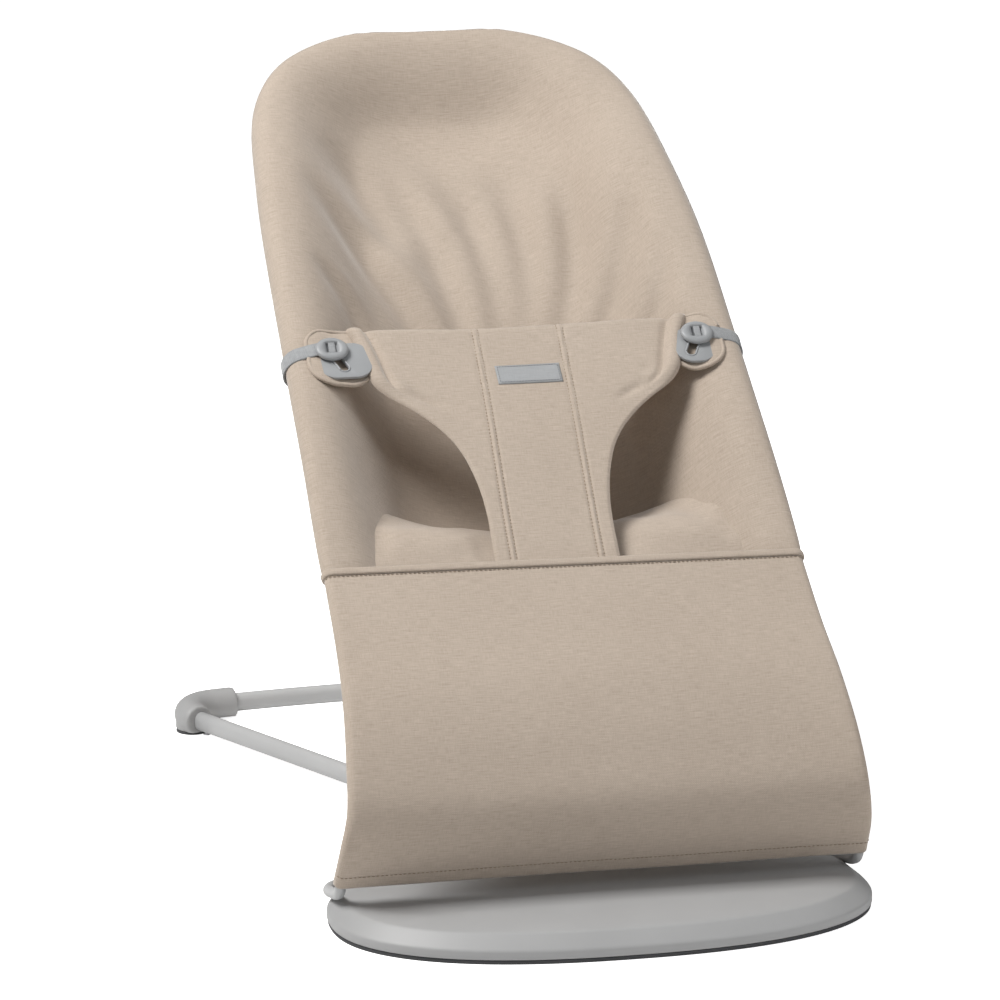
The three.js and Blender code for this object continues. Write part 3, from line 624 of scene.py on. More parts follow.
def corner_moulding(side, sign):
    bend = np.array([(169, 564.2), (180, 562.3), (190, 559.8), (198, 555.2), (204, 548.5), (207.6, 540),
                     (208.5, 531), (207, 523), (204.5, 516.5)])
    path = catmull_rom(np.column_stack([bend * MM, np.full(len(bend), CORNER_Z)]), 4) * (sign, 1, 1)
    radii = np.interp(np.linspace(0, 1, len(path)), (0, 0.04, 0.1, 0.6, 0.94, 1),
                      np.array((12.0, 12.7, 12.5, 13.2, 12.4, 11.4)) * MM)
    foot_z = np.array([2.3, 2.6, 5, 8, 12]) * MM
    foot_r = np.array([12.8, 13.3, 13.5, 13.4, 12]) * MM
    ring = circle(1.0, FOOT_SIDES)
    foot = np.vstack([np.column_stack([ring * r, np.full(FOOT_SIDES, z)]) for z, r in zip(foot_z, foot_r)])
    foot += (sign * CORNER_X, CORNER_Y, 0)
    foot_faces = ring_faces(len(foot_z), FOOT_SIDES, flip=True)
    verts, faces = merged_lumps([lathe_rings(path, radii), (foot, foot_faces)])
    piece = add_mesh("corner_moulding_" + side, verts, faces, PLATE_PLASTIC)
    blend = piece.modifiers.new("blend", "REMESH")
    blend.mode, blend.voxel_size = "VOXEL", 0.9 * MM
    soften = piece.modifiers.new("soften", "SMOOTH")
    soften.factor, soften.iterations = 0.5, 8
    applied(piece)
    for vertex in piece.data.vertices:
        vertex.co.z = max(vertex.co.z, SOLE_HEIGHT)
    piece.data.shade_smooth()
    return piece


for side, sign in SIDES:
    corner = corner_moulding(side, sign)
    finished(corner, "base", ["corner_" + side])
print("corner", len(corner.data.polygons), "faces")


# %% Rubber soles under the corners
def disc(name, x, y, profile, material, sides=48):
    ring = circle(1.0, sides)
    verts = np.vstack([np.column_stack([ring * r * MM, np.full(sides, z * MM)]) for r, z in profile])
    verts += (x, y, 0)
    return facing_out(add_mesh(name, verts, ring_faces(len(profile), sides, flip=True), material))


for side, sign in SIDES:
    sole = disc("corner_sole_pad_" + side, sign * CORNER_X, CORNER_Y,
                [(12.6, 0), (13, 0.4), (13, 1.6), (12.7, 2.1)], RUBBER)
    finished(sole, "base", ["corner_sole_" + side])
print("soles placed")

# %% [markdown]
# ## The wire
# The lower wire is the only steel that shows in front: it leaves the leg panel's corners, goes round the
# plate's rim and becomes the axle. It is a round section swept along a smooth curve. The hoop in the top of
# the back follows the side line closely, so that the thin roll covers it. The side wires keep their
# engineering meshes, because nothing of them is seen.

# %% Sweep the lower wire
WIRE_RADIUS = 4 * MM
half_wire = np.array([(188, 9.35, 34.3), (188, 13.5, 27.6), (188, 24, 22.6), (188, 37, 19.2), (187.8, 51, 16),
                      (186.4, 64, 13.3), (181.5, 76.5, 11.4), (172.5, 84, 10.6), (158, 85, 10.5)]) * MM
right_wire = catmull_rom(half_wire, 8)
axle = np.linspace(right_wire[-1], right_wire[-1] * (-1, 1, 1), 12)
wire_path = np.vstack([right_wire[:-1], axle[:-1], (right_wire * (-1, 1, 1))[::-1]])
lower_wire = swept_piece("lower_wire_rod", wire_path, circle(WIRE_RADIUS), POWDER_COAT)
finished(lower_wire, "lower_frame", ["lower_wire"])
print("lower wire", len(wire_path), "rings")

# %% Sweep the hoop inside the top of the back
hoop_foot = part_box("back_hoop")[0][1]
right_hoop = LINE[LINE[:, 1] >= hoop_foot][::6]
hoop_path = np.vstack([right_hoop, LINE[-1:], (right_hoop * (-1, 1, 1))[::-1]])
back_hoop = swept_piece("back_hoop_wire", hoop_path, circle(3.6 * MM, 14), POWDER_COAT, up=(0, -0.5, 0.87))
finished(back_hoop, "seat", ["back_hoop"])
print("hoop", len(hoop_path), "rings")

# %% [markdown]
# ## The leg panel
# The panel is one stretch of cloth pulled taut from wire to wire, with a sleeve sewn round each wire. A
# sheet under tension between two curved edges doesn't follow them in the middle: it takes the short way, so
# the panel is pulled back a little where the wires bulge forward. The section is a flat front with a round
# turn over each wire, carried along the side line.

# %% Shape the leg panel
PANEL_ROWS = 120
SLEEVE_RADIUS = 5.6 * MM
PANEL_PLACES = (0.02, 5.84)
HEM_TILT = -0.015  # the panel's upper edge hangs a little lower on the right
SLEEVE_TURN = np.radians(np.linspace(205, 0, 12))


def panel_section(place, u_count=61):
    """x and h of the panel's section, from behind the left wire over its front to behind the right wire."""
    w = float(half_width(place))
    s = float(length_at(place))
    hem = float(ease(place, 5.4, 5.8))
    turn_x = -w - SLEEVE_RADIUS * np.sin(SLEEVE_TURN)
    turn_h = SLEEVE_RADIUS * np.cos(SLEEVE_TURN)
    u = np.linspace(-1, 1, u_count)[1:-1]
    pull = 8 * MM * float(bump(place, 2.4, 1.5)) * (1 - u ** 2) ** 0.8
    wave = np.array([noise.noise(Vector((a * 1.3, s * 7, 3.1))) for a in u]) * 1.6 * MM * (1 - u ** 2)
    front_x = u * w
    front_h = SLEEVE_RADIUS - pull + wave * (1 - hem)
    x = np.concatenate([turn_x, front_x, -turn_x[::-1]])
    h = np.concatenate([turn_h, front_h, turn_h[::-1]])
    return x, h


def flat_positions(x, h):
    """Distance along a section, which is where each point lay before the cloth was bent."""
    return np.concatenate([[0], np.cumsum(np.hypot(np.diff(x), np.diff(h)))]) - 0.25


points, uvs = [], []
for place in np.linspace(*PANEL_PLACES, PANEL_ROWS):
    x, h = panel_section(place)
    s = float(length_at(place)) + HEM_TILT * x * float(ease(place, 4.0, 5.8))
    points.append(on_seat(x, s, h))
    uvs.append(np.column_stack([flat_positions(x, h), s]))
leg_panel = grid_piece("leg_panel_cloth", np.array(points), BEIGE_CLOTH, np.array(uvs))
solidified(leg_panel, 1.1 * MM)

# %% [markdown]
# ### The bound hem
# The panel's upper edge is turned over into a soft rolled binding, which stands a little proud of the cloth
# and throws a fine shadow on the seat behind. It is a flat-sided section swept from wire to wire and round
# each of them.

# %% Sweep the hem binding
HEM_HEIGHT, HEM_THICKNESS = 6.0 * MM, 2.6 * MM
HEM_TURN = 150  # degrees that the binding goes round each wire
HEM_SIDES = 14


def hem_path(s, lift):
    w = float(half_width(place_at(s)))
    turn = np.radians(np.linspace(HEM_TURN, 0, 10))
    radius = SLEEVE_RADIUS + lift
    turn_x, turn_h = -w - radius * np.sin(turn), radius * np.cos(turn)
    u = np.linspace(-1, 1, 50)[1:-1]
    x = np.concatenate([turn_x, u * w, -turn_x[::-1]])
    h = np.concatenate([turn_h, np.full(48, radius), turn_h[::-1]])
    return on_seat(x, s + HEM_TILT * x, h)


def hem_section(height, thickness):
    angles = np.linspace(0, 2 * math.pi, HEM_SIDES, endpoint=False)
    squared = lambda v: np.sign(v) * np.abs(v) ** 0.75
    return np.column_stack([squared(np.cos(angles)) * height / 2, squared(np.sin(angles)) * thickness / 2])


hem_s = HEM_S - 10.3 * MM
hem = hem_path(hem_s, 0.6 * MM)
verts, faces = sweep(hem, hem_section(HEM_HEIGHT, HEM_THICKNESS), up=(0, -0.58, 0.81))
hem_uv = np.column_stack([np.repeat(np.linspace(-0.19, 0.19, len(hem)), HEM_SIDES),
                          np.tile(np.linspace(0, 0.024, HEM_SIDES), len(hem))])
hem_binding = facing_out(add_mesh("hem_roll", verts, faces, BEIGE_CLOTH, hem_uv))
print("hem", len(faces), "faces")

# %% [markdown]
# ## The bucket
# The seat's lining is one padded layer from the hem to the top. Round the rim it is stuffed into a soft
# roll over the wire; inside, it drops into the hollow where the child lies. Rows start behind the wire, go
# over the roll and run to a spine down the middle. Near the top the rows fan out from a point below the
# edge, so the roll keeps its width round the arc.

# %% Depth of the hollow and size of the roll
DEPTH_PLACES = (6.0, 6.5, 7.0, 8.0, 9.0, 10.0, 11.0, 15.0)
DEPTHS = (58, 82, 90, 76, 58, 44, 36, 26)
ROLL_PLACES = (5.75, 6.05, 7.0, 8.5, 10.0, 12.0, 13.0, 15.0)
ROLL_RADII = (4.2, 7.2, 9.5, 12.0, 14.0, 13.0, 10.5, 7.5)
FAN_PLACE, FAN_REACH = 9.0, 112 * MM


def smooth_table(value, keys, values):
    """Values between keys, eased with a Catmull-Rom curve."""
    table = catmull_rom(np.column_stack([keys, values, np.zeros(len(keys))]).astype(float), 20)
    return np.interp(value, table[:, 0], table[:, 1])


def hollow_depth(place):
    return smooth_table(place, DEPTH_PLACES, DEPTHS) * MM


def roll_radius(place):
    return smooth_table(place, ROLL_PLACES, ROLL_RADII) * MM


def spine_length(place):
    """Where the row that starts at this place meets the middle of the seat."""
    if place <= FAN_PLACE:
        return float(length_at(place))
    start = float(length_at(FAN_PLACE))
    t = (place - FAN_PLACE) / (TOP_PLACE - FAN_PLACE)
    return start + (TOP_S - FAN_REACH - start) * (1 - (1 - t) ** 3.0)


print("hollow %.0f mm deep at the hips" % (hollow_depth(7.0) / MM))

# %% [markdown]
# ### Creases
# Padded cloth that hangs in a hollow gathers into long soft creases: a few run from the hips up and out to
# the shoulders, and some fine ones cross them. Each crease is a line in flat cloth coordinates with a width
# and a depth, and the fine unevenness is seeded noise, so the cloth comes out the same every time.

# %% Place the creases
# Each crease: x and s of its two ends, depth, width. Lengths in millimetres; s counts from the lower corner.
CREASES = [
    (-125, 665, -36, 492, 8.0, 14),
    (-92, 725, -66, 610, 6.0, 20),
    (-52, 715, -18, 500, 6.5, 14),
    (-6, 715, 8, 500, 5.0, 13),
    (40, 705, 24, 500, 5.5, 13),
    (88, 690, 42, 495, 8.0, 14),
    (126, 640, 64, 490, 7.0, 13),
    (-136, 575, -104, 486, 5.0, 10),
    (134, 585, 108, 486, 5.0, 10),
    (-60, 455, 46, 440, 3.0, 12),
]


def crease_height(x, s):
    total = np.zeros_like(x)
    for x0, s0, x1, s1, depth, width in CREASES:
        a, b = np.array((x0, s0)) * MM, np.array((x1, s1)) * MM
        along = b - a
        length = np.hypot(*along)
        along /= length
        t = (x - a[0]) * along[0] + (s - a[1]) * along[1]
        bow = 10 * MM * np.sin(math.pi * np.clip(t / length, 0, 1))
        off = (x - a[0]) * -along[1] + (s - a[1]) * along[0] - bow
        ends = ease(t, -0.1 * length, 0.3 * length) * (1 - ease(t, 0.7 * length, 1.1 * length))
        shape = bump(off, 0, width * MM) - 0.55 * bump(off, 1.7 * width * MM, 1.1 * width * MM)
        total -= depth * MM * shape * ends
    return total


def fine_unevenness(x, s, seed, scale=11.0):
    flat = zip(np.ravel(x), np.ravel(s))
    values = [noise.noise(Vector((a * scale, b * scale * 0.6, seed))) for a, b in flat]
    return np.array(values).reshape(np.shape(x))


print(len(CREASES), "creases")

# %% Build the bucket row by row
ROLL_COLUMNS, INNER_COLUMNS = 13, 56
ROW_STEP = 0.045
ROLL_TURN = 200  # degrees from behind the wire to the top of the roll
BUCKET_FIRST = HEM_PLACE - 0.25


def plane_point(place, sign):
    return np.array((sign * float(half_width(place)), float(length_at(place))))


def inward(place, sign):
    """Direction into the seat, square to the rim, in flat coordinates."""
    if place > TOP_PLACE - 1e-6:
        return np.array((0.0, -1.0))
    step = 0.02
    before, after = plane_point(max(place - step, 0), sign), plane_point(min(place + step, TOP_PLACE), sign)
    tangent = (after - before) / np.linalg.norm(after - before)
    return np.array((-tangent[1], tangent[0])) * sign


def bucket_row(place, sign):
    """Flat x, flat s and h of one row from behind the wire to the spine."""
    rim, into = plane_point(place, sign), inward(place, sign)
    radius = float(roll_radius(place))
    turn = np.radians(np.linspace(ROLL_TURN, 0, ROLL_COLUMNS))
    roll = rim[None] - into[None] * (radius * np.sin(turn))[:, None]
    roll_h = radius * np.cos(turn)
    spine = np.array((0.0, spine_length(place)))
    reach = np.linalg.norm(spine - rim)
    f = np.linspace(0, 1, INNER_COLUMNS + 1)[1:] ** 1.15
    f = f[:, None]
    inner = (1 - f) ** 2 * rim + 2 * f * (1 - f) * (rim + into * reach * 0.45) + f ** 2 * spine
    f = f[:, 0]
    depth = float(hollow_depth(place_at(spine[1])))
    fall = (1 - (1 - f) ** 2.0) * ease(f * reach, -6 * MM, 78 * MM)
    inner_h = radius - (depth + radius) * fall
    flat = np.vstack([roll, inner])
    return flat, np.concatenate([roll_h, inner_h]), np.concatenate([np.zeros(ROLL_COLUMNS), f])


def bucket_points():
    places = np.arange(BUCKET_FIRST, TOP_PLACE, ROW_STEP)
    rows = [(p, LEFT) for p in places] + [(TOP_PLACE, LEFT)] + [(p, RIGHT) for p in places[::-1]]
    flats, heights, shares = zip(*(bucket_row(p, s) for p, s in rows))
    flat, h, share = np.array(flats), np.array(heights), np.array(shares)
    x, s = flat[..., 0], flat[..., 1]
    inside = ease(share, 0.03, 0.25)
    h = h + crease_height(x, s) * inside
    h = h + fine_unevenness(x, s, 1.7) * 1.8 * MM * inside + fine_unevenness(x, s, 4.2, 26) * 0.7 * MM
    return on_seat(x, s, h), np.stack([x, s], axis=-1)


points, uvs = bucket_points()
bucket = grid_piece("bucket_lining", points, BEIGE_CLOTH, uvs)
print("bucket", points.shape[0], "rows of", points.shape[1])

# %% Close the spine and give the lining its thickness
work = bmesh.new()
work.from_mesh(bucket.data)
bmesh.ops.remove_doubles(work, verts=work.verts, dist=0.6 * MM)
work.to_mesh(bucket.data)
work.free()
bucket.data.shade_smooth()
solidified(bucket, 3 * MM)
print("lining", len(bucket.data.polygons), "faces")

# %% [markdown]
# ## The seat cushion
# Below the hips the lining is a separate puffy panel. It is sewn in behind the hem and along the hip seam,
# and the slack between the two pushes up into mounds on both sides of the bib. Its shape comes from a
# formula, then a short cloth simulation blows it up against its seams, which is what gathers the cloth near
# them.

# %% Shape the seat cushion
CUSHION_X, CUSHION_Y = 61, 31
FRONT_Y, FRONT_Z = 125 * MM, 212 * MM
MOUND_HEIGHT, CUSHION_THICKNESS = 19 * MM, 13 * MM
CUSHION_SLOPE = math.radians(36)


def cushion_points(drop):
    u = np.linspace(-1, 1, CUSHION_X)
    rows = []
    seam_w = float(half_width(SEAM_PLACE)) - 5 * MM
    depth = float(hollow_depth(SEAM_PLACE)) * (1 - np.abs(u) ** 2.3) - 3 * MM
    seam = on_seat(u * seam_w, SEAM_S, -depth)
    front_w = float(half_width(HEM_PLACE)) - 5 * MM
    for v in np.linspace(0, 1, CUSHION_Y):
        front = np.stack([u * front_w, np.full_like(u, FRONT_Y), np.full_like(u, FRONT_Z)], axis=1)
        middle = front + (seam - front) * v
        mound = MOUND_HEIGHT * np.sin(math.pi * v ** 0.8) * (1 - np.abs(u) ** 4.5)
        mound = mound * (0.72 + 0.3 * bump(np.abs(u), 0.45, 0.25))
        middle[:, 2] += mound - drop
        rows.append(middle)
    return np.array(rows)


def closed_cushion(name, thickness):
    top, bottom = cushion_points(0), cushion_points(thickness)
    rows, columns = top.shape[:2]
    verts = np.vstack([top.reshape(-1, 3), bottom.reshape(-1, 3)])
    count = rows * columns
    faces = grid_faces(rows, columns)
    faces += [tuple(i + count for i in f) for f in grid_faces(rows, columns, flip=True)]
    rim = ([i for i in range(columns)] + [j * columns + columns - 1 for j in range(1, rows)]
           + [(rows - 1) * columns + i for i in range(columns - 2, -1, -1)]
           + [j * columns for j in range(rows - 2, 0, -1)])
    for a, b in zip(rim, rim[1:] + rim[:1]):
        faces.append((a, a + count, b + count, b))
    return facing_out(add_mesh(name, verts, faces, BEIGE_CLOTH))


seat_cushion = closed_cushion("seat_cushion", CUSHION_THICKNESS)
print("cushion", len(seat_cushion.data.polygons), "faces")


# %% Inflate it against its seams
def inflated(piece, voxel, pressure, cap, frames, pinned):
    """Blows a closed piece up without gravity; pinned(point) holds a point, and cap is how far one may go."""
    before = piece.modifiers.new("even", "REMESH")
    before.mode, before.voxel_size = "VOXEL", voxel
    applied(piece)
    start = np.array([v.co for v in piece.data.vertices])
    group = piece.vertex_groups.new(name="sewn")
    for i, point in enumerate(start):
        group.add([i], float(pinned(point)), "REPLACE")
    cloth = piece.modifiers.new("cloth", "CLOTH")
    settings = cloth.settings
    settings.quality, settings.mass = 5, 0.15
    settings.tension_stiffness = settings.compression_stiffness = 12
    settings.bending_stiffness = 4.0
    settings.use_pressure, settings.uniform_pressure_force = True, pressure
    settings.vertex_group_mass = "sewn"
    settings.effector_weights.gravity = 0.0
    settings.shrink_min = -0.02
    cloth.point_cache.frame_start, cloth.point_cache.frame_end = 1, frames
    for number in range(1, frames + 1):
        bpy.context.scene.frame_set(number)
    ready = piece.evaluated_get(bpy.context.evaluated_depsgraph_get())
    moved = np.array([v.co for v in ready.data.vertices])
    shift = moved - start
    size = np.linalg.norm(shift, axis=1)
    shift *= (np.minimum(size, cap) / np.maximum(size, 1e-9))[:, None]
    piece.modifiers.clear()
    bpy.context.scene.frame_set(1)
    piece.data.vertices.foreach_set("co", (start + shift).ravel())
    piece.data.update()
    return float(size.max())


def cloth_uv(piece, slope):
    """Flat coordinates for a piece that isn't a grid: x across and distance up the slope."""
    mesh = piece.data
    layer = mesh.uv_layers.get("cloth") or mesh.uv_layers.new(name="cloth")
    for loop in mesh.loops:
        co = mesh.vertices[loop.vertex_index].co
        layer.data[loop.index].uv = (co.x, co.y * math.cos(slope) + co.z * math.sin(slope))


cushion_top = cushion_points(0)
CUSHION_RIM = np.vstack([cushion_top[0], cushion_top[-1], cushion_top[:, 0], cushion_top[:, -1]])


def sewn_edge(point):
    """1 on the sewn rim of the cushion and 0 a little inside it."""
    distance = np.linalg.norm(CUSHION_RIM - point, axis=1).min()
    return 1 - ease(distance, 12 * MM, 30 * MM)


swelled = inflated(seat_cushion, voxel=6 * MM, pressure=1.6, cap=6 * MM, frames=14, pinned=sewn_edge)
print("cushion swelled %.1f mm before the cap" % (swelled / MM))
ease_out = seat_cushion.modifiers.new("ease", "SMOOTH")
ease_out.factor, ease_out.iterations = 0.5, 6
smooth = seat_cushion.modifiers.new("smooth", "SUBSURF")
smooth.levels = smooth.render_levels = 1
applied(seat_cushion)
cloth_uv(seat_cushion, CUSHION_SLOPE)
seat_cushion.data.shade_smooth()

# %% [markdown]
# ## The rear cover
# The back of the sack is one plain sheet. It starts at the roll's rear seam, follows the hollow a little
# below the lining and closes behind the leg panel with three press studs.

# %% Hang the rear cover
REAR_ROWS = 130
REAR_PLACES = (0.35, TOP_PLACE)
REAR_KEYS = (0.35, 2.0, 4.0, 5.0, 5.7, 6.3, 7.0, 8.0, 9.0, 10.0, 11.0, 12.0, 13.0, 14.0, 15.0)
REAR_DEPTHS = (9, 9, 11, 20, 52, 92, 109, 96, 79, 62, 48, 33, 20, 11, 9)


def rear_depth(place):
    return smooth_table(place, REAR_KEYS, REAR_DEPTHS) * MM


points, uvs = [], []
rear_last = float(place_at(TOP_S - 1 * MM))
for place in np.linspace(REAR_PLACES[0], rear_last, REAR_ROWS):
    s = float(length_at(place))
    radius = float(roll_radius(max(place, 6.05))) if place > 5.9 else SLEEVE_RADIUS
    w = float(half_width(place)) - (1.5 if place < 12 else 3) * MM
    u = np.linspace(-1, 1, 61)
    edge_h = -radius - 1.2 * MM
    sharp = 7.0 if place < 6.3 else 2.4 + 4.6 * float(1 - ease(place, 6.3, 7.6))
    deep = float(rear_depth(place))
    h = edge_h - (deep + edge_h) * (1 - np.abs(u) ** sharp)
    x = u * w
    h = h + fine_unevenness(x, np.full_like(x, s), 9.1, 7) * 2 * MM * (1 - u ** 2)
    points.append(on_seat(x, s, h))
    uvs.append(np.column_stack([x, np.full_like(x, s)]))
rear_cover = grid_piece("rear_cover_cloth", np.array(points), BEIGE_CLOTH, np.array(uvs), flip=True)
solidified(rear_cover, 1.2 * MM)
print("rear cover", len(rear_cover.data.polygons), "faces")

finished(leg_panel, "seat", ["leg_panel"])
finished(hem_binding, "seat", ["hem_binding"])
finished(bucket, "seat", ["back_pad"])
finished(seat_cushion, "seat", ["seat_pad"])
finished(rear_cover, "seat", ["rear_cover"])

# %% [markdown]
# ## The harness bib
# A T of cloth comes up between the legs from behind the hem and flares into two wings, whose ends are
# rolled over into a soft fold. Two double seams run up its middle. A grid follows the outline, and the
# seams and folds are pressed into it, because they are too fine for a remesh to keep.

# %% Outline and height of the bib
BIB_LOW, BIB_TOP = 3 * MM, 222 * MM
BIB_PLACES = (-20, 14, 42, 63, 80, 100, 116, 132, 145, 155, 162, 170, 182, 196, 208, 222)
BIB_WIDTHS = (46.3, 46, 46.2, 48.2, 51.4, 57.5, 66, 79, 93, 106, 113, 117.5, 120.5, 123.5, 126.5, 131)
FOLD_WIDTH = 13 * MM
SLOPE = math.radians(35.6)
HEM_POINT = np.array((0, 135, 229)) * MM
ALONG = np.array((0, math.cos(SLOPE), math.sin(SLOPE)))
OUTWARD = np.array((0, -math.sin(SLOPE), math.cos(SLOPE)))


def on_bib(x, y, h):
    """A point of the harness plane: x across, y up the slope from the hem and h out of the seat."""
    x, y, h = np.broadcast_arrays(x, y, h)
    return HEM_POINT + x[..., None] * (1, 0, 0) + y[..., None] * ALONG + h[..., None] * OUTWARD


def bib_half_width(y):
    return smooth_table(np.asarray(y) / MM, BIB_PLACES, BIB_WIDTHS) * MM


def bib_middle(y):
    """The bib is pulled a little askew: its middle wanders from left to right on the way up."""
    return -3.6 * MM + 0.045 * np.asarray(y)


def bib_lift(x, y):
    plane = 1.5 * MM + 7.5 * MM * ease(y, 10 * MM, 190 * MM)
    sag = -3 * MM * bump(x, 0, 60 * MM) * ease(y, 90 * MM, 220 * MM)
    return plane + sag


def seam_x(y, sign, row):
    return bib_middle(y) + sign * (30 * MM + row * 4.6 * MM)


print("bib %.0f mm wide at the wings" % (2 * bib_half_width(BIB_TOP) / MM))

# %% Build the bib
BIB_COLUMNS, BIB_ROWS = 141, 121


def bib_surface(x, y):
    edge = bib_half_width(y) - np.abs(x - bib_middle(y))
    h = bib_lift(x, y)
    fold = ease(y, 150 * MM, 172 * MM)
    across = np.clip((edge - FOLD_WIDTH / 2) / (FOLD_WIDTH / 2), -1, 1)
    h = h + fold * (4.8 * MM * np.sqrt(1 - across ** 2) - 1.6 * MM * bump(edge, FOLD_WIDTH + 2 * MM, 3 * MM))
    h = h - 2.2 * MM * bump(y, 152 * MM, 9 * MM) * bump(edge, 22 * MM, 7 * MM)
    h = h + 1.8 * MM * bump(y, 163 * MM, 8 * MM) * bump(edge, 19 * MM, 6 * MM)
    for sign in (LEFT, RIGHT):
        for row in (0, 1):
            h = h - 0.9 * MM * bump(x, seam_x(y, sign, row), 1.1 * MM)
        h = h + 0.6 * MM * bump(x, seam_x(y, sign, 0.5), 2.2 * MM)
    h = h - 1.4 * MM * bump(edge, 0, 1.6 * MM) * (1 - fold)
    h = h - 2.0 * MM * bump(y, BIB_TOP, 2.2 * MM)
    h = h + fine_unevenness(x, y, 6.6, 14) * 1.8 * MM * ease(edge, 0, 30 * MM)
    return on_bib(x, y, h)


u = np.linspace(-1, 1, BIB_COLUMNS)[None, :]
y = np.linspace(BIB_LOW - 20 * MM, BIB_TOP, BIB_ROWS)[:, None]
bib_x, bib_y = np.broadcast_arrays(u * bib_half_width(y) + bib_middle(y), y)
bib = grid_piece("bib_cloth", bib_surface(bib_x, bib_y), BEIGE_CLOTH, np.stack([bib_x, bib_y], axis=-1))
solidified(bib, 2.6 * MM)
edge_rounded(bib, 0.9 * MM, 2, 50)
bib.data.shade_smooth()
finished(bib, "seat", ["harness_bib"])

# %% [markdown]
# ## Stitches
# Hundreds of stitches follow seams, so Geometry Nodes make them: the tree resamples a curve at the stitch
# length, puts one small thread loop on each point, turned along the seam, and realises the instances so
# that they become plain mesh. Its inputs are the stitch length, the share of it that shows, and the thread.


# %% The stitching tree
def stitch_tree():
    tree = bpy.data.node_groups.new("stitch_row", "GeometryNodeTree")
    face = tree.interface
    face.new_socket("Seam", in_out="INPUT", socket_type="NodeSocketGeometry")
    for title, value in (("Stitch length", 3.2 * MM), ("Visible share", 0.72), ("Thread radius", 0.32 * MM)):
        face.new_socket(title, in_out="INPUT", socket_type="NodeSocketFloat").default_value = value
    face.new_socket("Thread", in_out="INPUT", socket_type="NodeSocketMaterial")
    face.new_socket("Stitches", in_out="OUTPUT", socket_type="NodeSocketGeometry")
    nodes, links = tree.nodes, tree.links
    given, out = nodes.new("NodeGroupInput"), nodes.new("NodeGroupOutput")
    curve = nodes.new("GeometryNodeMeshToCurve")
    rest = nodes.new("GeometryNodeResampleCurve")
    rest.mode = "LENGTH"
    place = nodes.new("GeometryNodeInstanceOnPoints")
    loop = nodes.new("GeometryNodeMeshUVSphere")
    loop.inputs["Segments"].default_value, loop.inputs["Rings"].default_value = 6, 4
    loop.inputs["Radius"].default_value = 1.0
    tangent = nodes.new("GeometryNodeInputTangent")
    turn = nodes.new("FunctionNodeAlignEulerToVector")
    turn.axis = "Z"
    half = nodes.new("ShaderNodeMath")
    half.operation = "MULTIPLY"
    quarter = nodes.new("ShaderNodeMath")
    quarter.operation = "MULTIPLY"
    quarter.inputs[1].default_value = 0.5
    size = nodes.new("ShaderNodeCombineXYZ")
    real = nodes.new("GeometryNodeRealizeInstances")
    paint = nodes.new("GeometryNodeSetMaterial")
    links.new(given.outputs["Seam"], curve.inputs[0])
    links.new(curve.outputs[0], rest.inputs["Curve"])
    links.new(given.outputs["Stitch length"], rest.inputs["Length"])
    links.new(rest.outputs[0], place.inputs["Points"])
    links.new(loop.outputs[0], place.inputs["Instance"])
    links.new(tangent.outputs[0], turn.inputs["Vector"])
    links.new(turn.outputs[0], place.inputs["Rotation"])
    links.new(given.outputs["Stitch length"], half.inputs[0])
    links.new(given.outputs["Visible share"], half.inputs[1])
    links.new(half.outputs[0], quarter.inputs[0])
    links.new(given.outputs["Thread radius"], size.inputs[0])
    links.new(given.outputs["Thread radius"], size.inputs[1])
    links.new(quarter.outputs[0], size.inputs[2])
    links.new(size.outputs[0], place.inputs["Scale"])
    links.new(place.outputs[0], real.inputs[0])
    links.new(real.outputs[0], paint.inputs["Geometry"])
    links.new(given.outputs["Thread"], paint.inputs["Material"])
    links.new(paint.outputs[0], out.inputs["Stitches"])
    return tree


STITCH_TREE = stitch_tree()
STITCH_INPUTS = {item.name: item.identifier for item in STITCH_TREE.interface.items_tree
                 if item.in_out == "INPUT"}


def stitches(name, seams, thread=THREAD_MATERIAL, length=3.2 * MM, radius=0.32 * MM):
    """One mesh of stitches along several seams, each an array of points."""
    verts, edges = [], []
    for seam in seams:
        start = len(verts)
        verts += [tuple(map(float, p)) for p in seam]
        edges += [(start + i, start + i + 1) for i in range(len(seam) - 1)]
    mesh = bpy.data.meshes.new(name)
    mesh.from_pydata(verts, edges, [])
    piece = bpy.data.objects.new(name, mesh)
    bpy.context.scene.collection.objects.link(piece)
    modifier = piece.modifiers.new("stitches", "NODES")
    modifier.node_group = STITCH_TREE
    modifier[STITCH_INPUTS["Stitch length"]] = length
    modifier[STITCH_INPUTS["Thread radius"]] = radius
    modifier[STITCH_INPUTS["Thread"]] = thread
    applied(piece)
    piece.data.shade_smooth()
    return piece


print("stitch tree", len(STITCH_TREE.nodes), "nodes")

# %% Sew the bib
seam_y = np.linspace(BIB_LOW - 9 * MM, BIB_TOP - 2 * MM, 120)
bib_seams = [bib_surface(seam_x(seam_y, sign, row), seam_y) + OUTWARD * 0.15 * MM
             for sign in (LEFT, RIGHT) for row in (0, 1)]
bib_stitches = stitches("bib_stitches", bib_seams, radius=0.45 * MM)
finished(bib_stitches, "seat")
print("bib stitches", len(bib_stitches.data.polygons), "faces")

# %% Sew the hem and the panel's lower edge
panel_rows = []
for s, lift in ((float(length_at(0.36)), 0.35 * MM), (HEM_S - 14.6 * MM, 0.4 * MM)):
    place = float(place_at(s))
    x, h = panel_section(place)
    keep = slice(8, -8)
    tilt = HEM_TILT * x * float(ease(place, 4.0, 5.8))
    panel_rows.append(on_seat(x[keep], (s + tilt)[keep], h[keep] + lift))
panel_stitches = stitches("panel_stitches", panel_rows)
finished(panel_stitches, "seat")
print("panel stitches", len(panel_stitches.data.polygons), "faces")

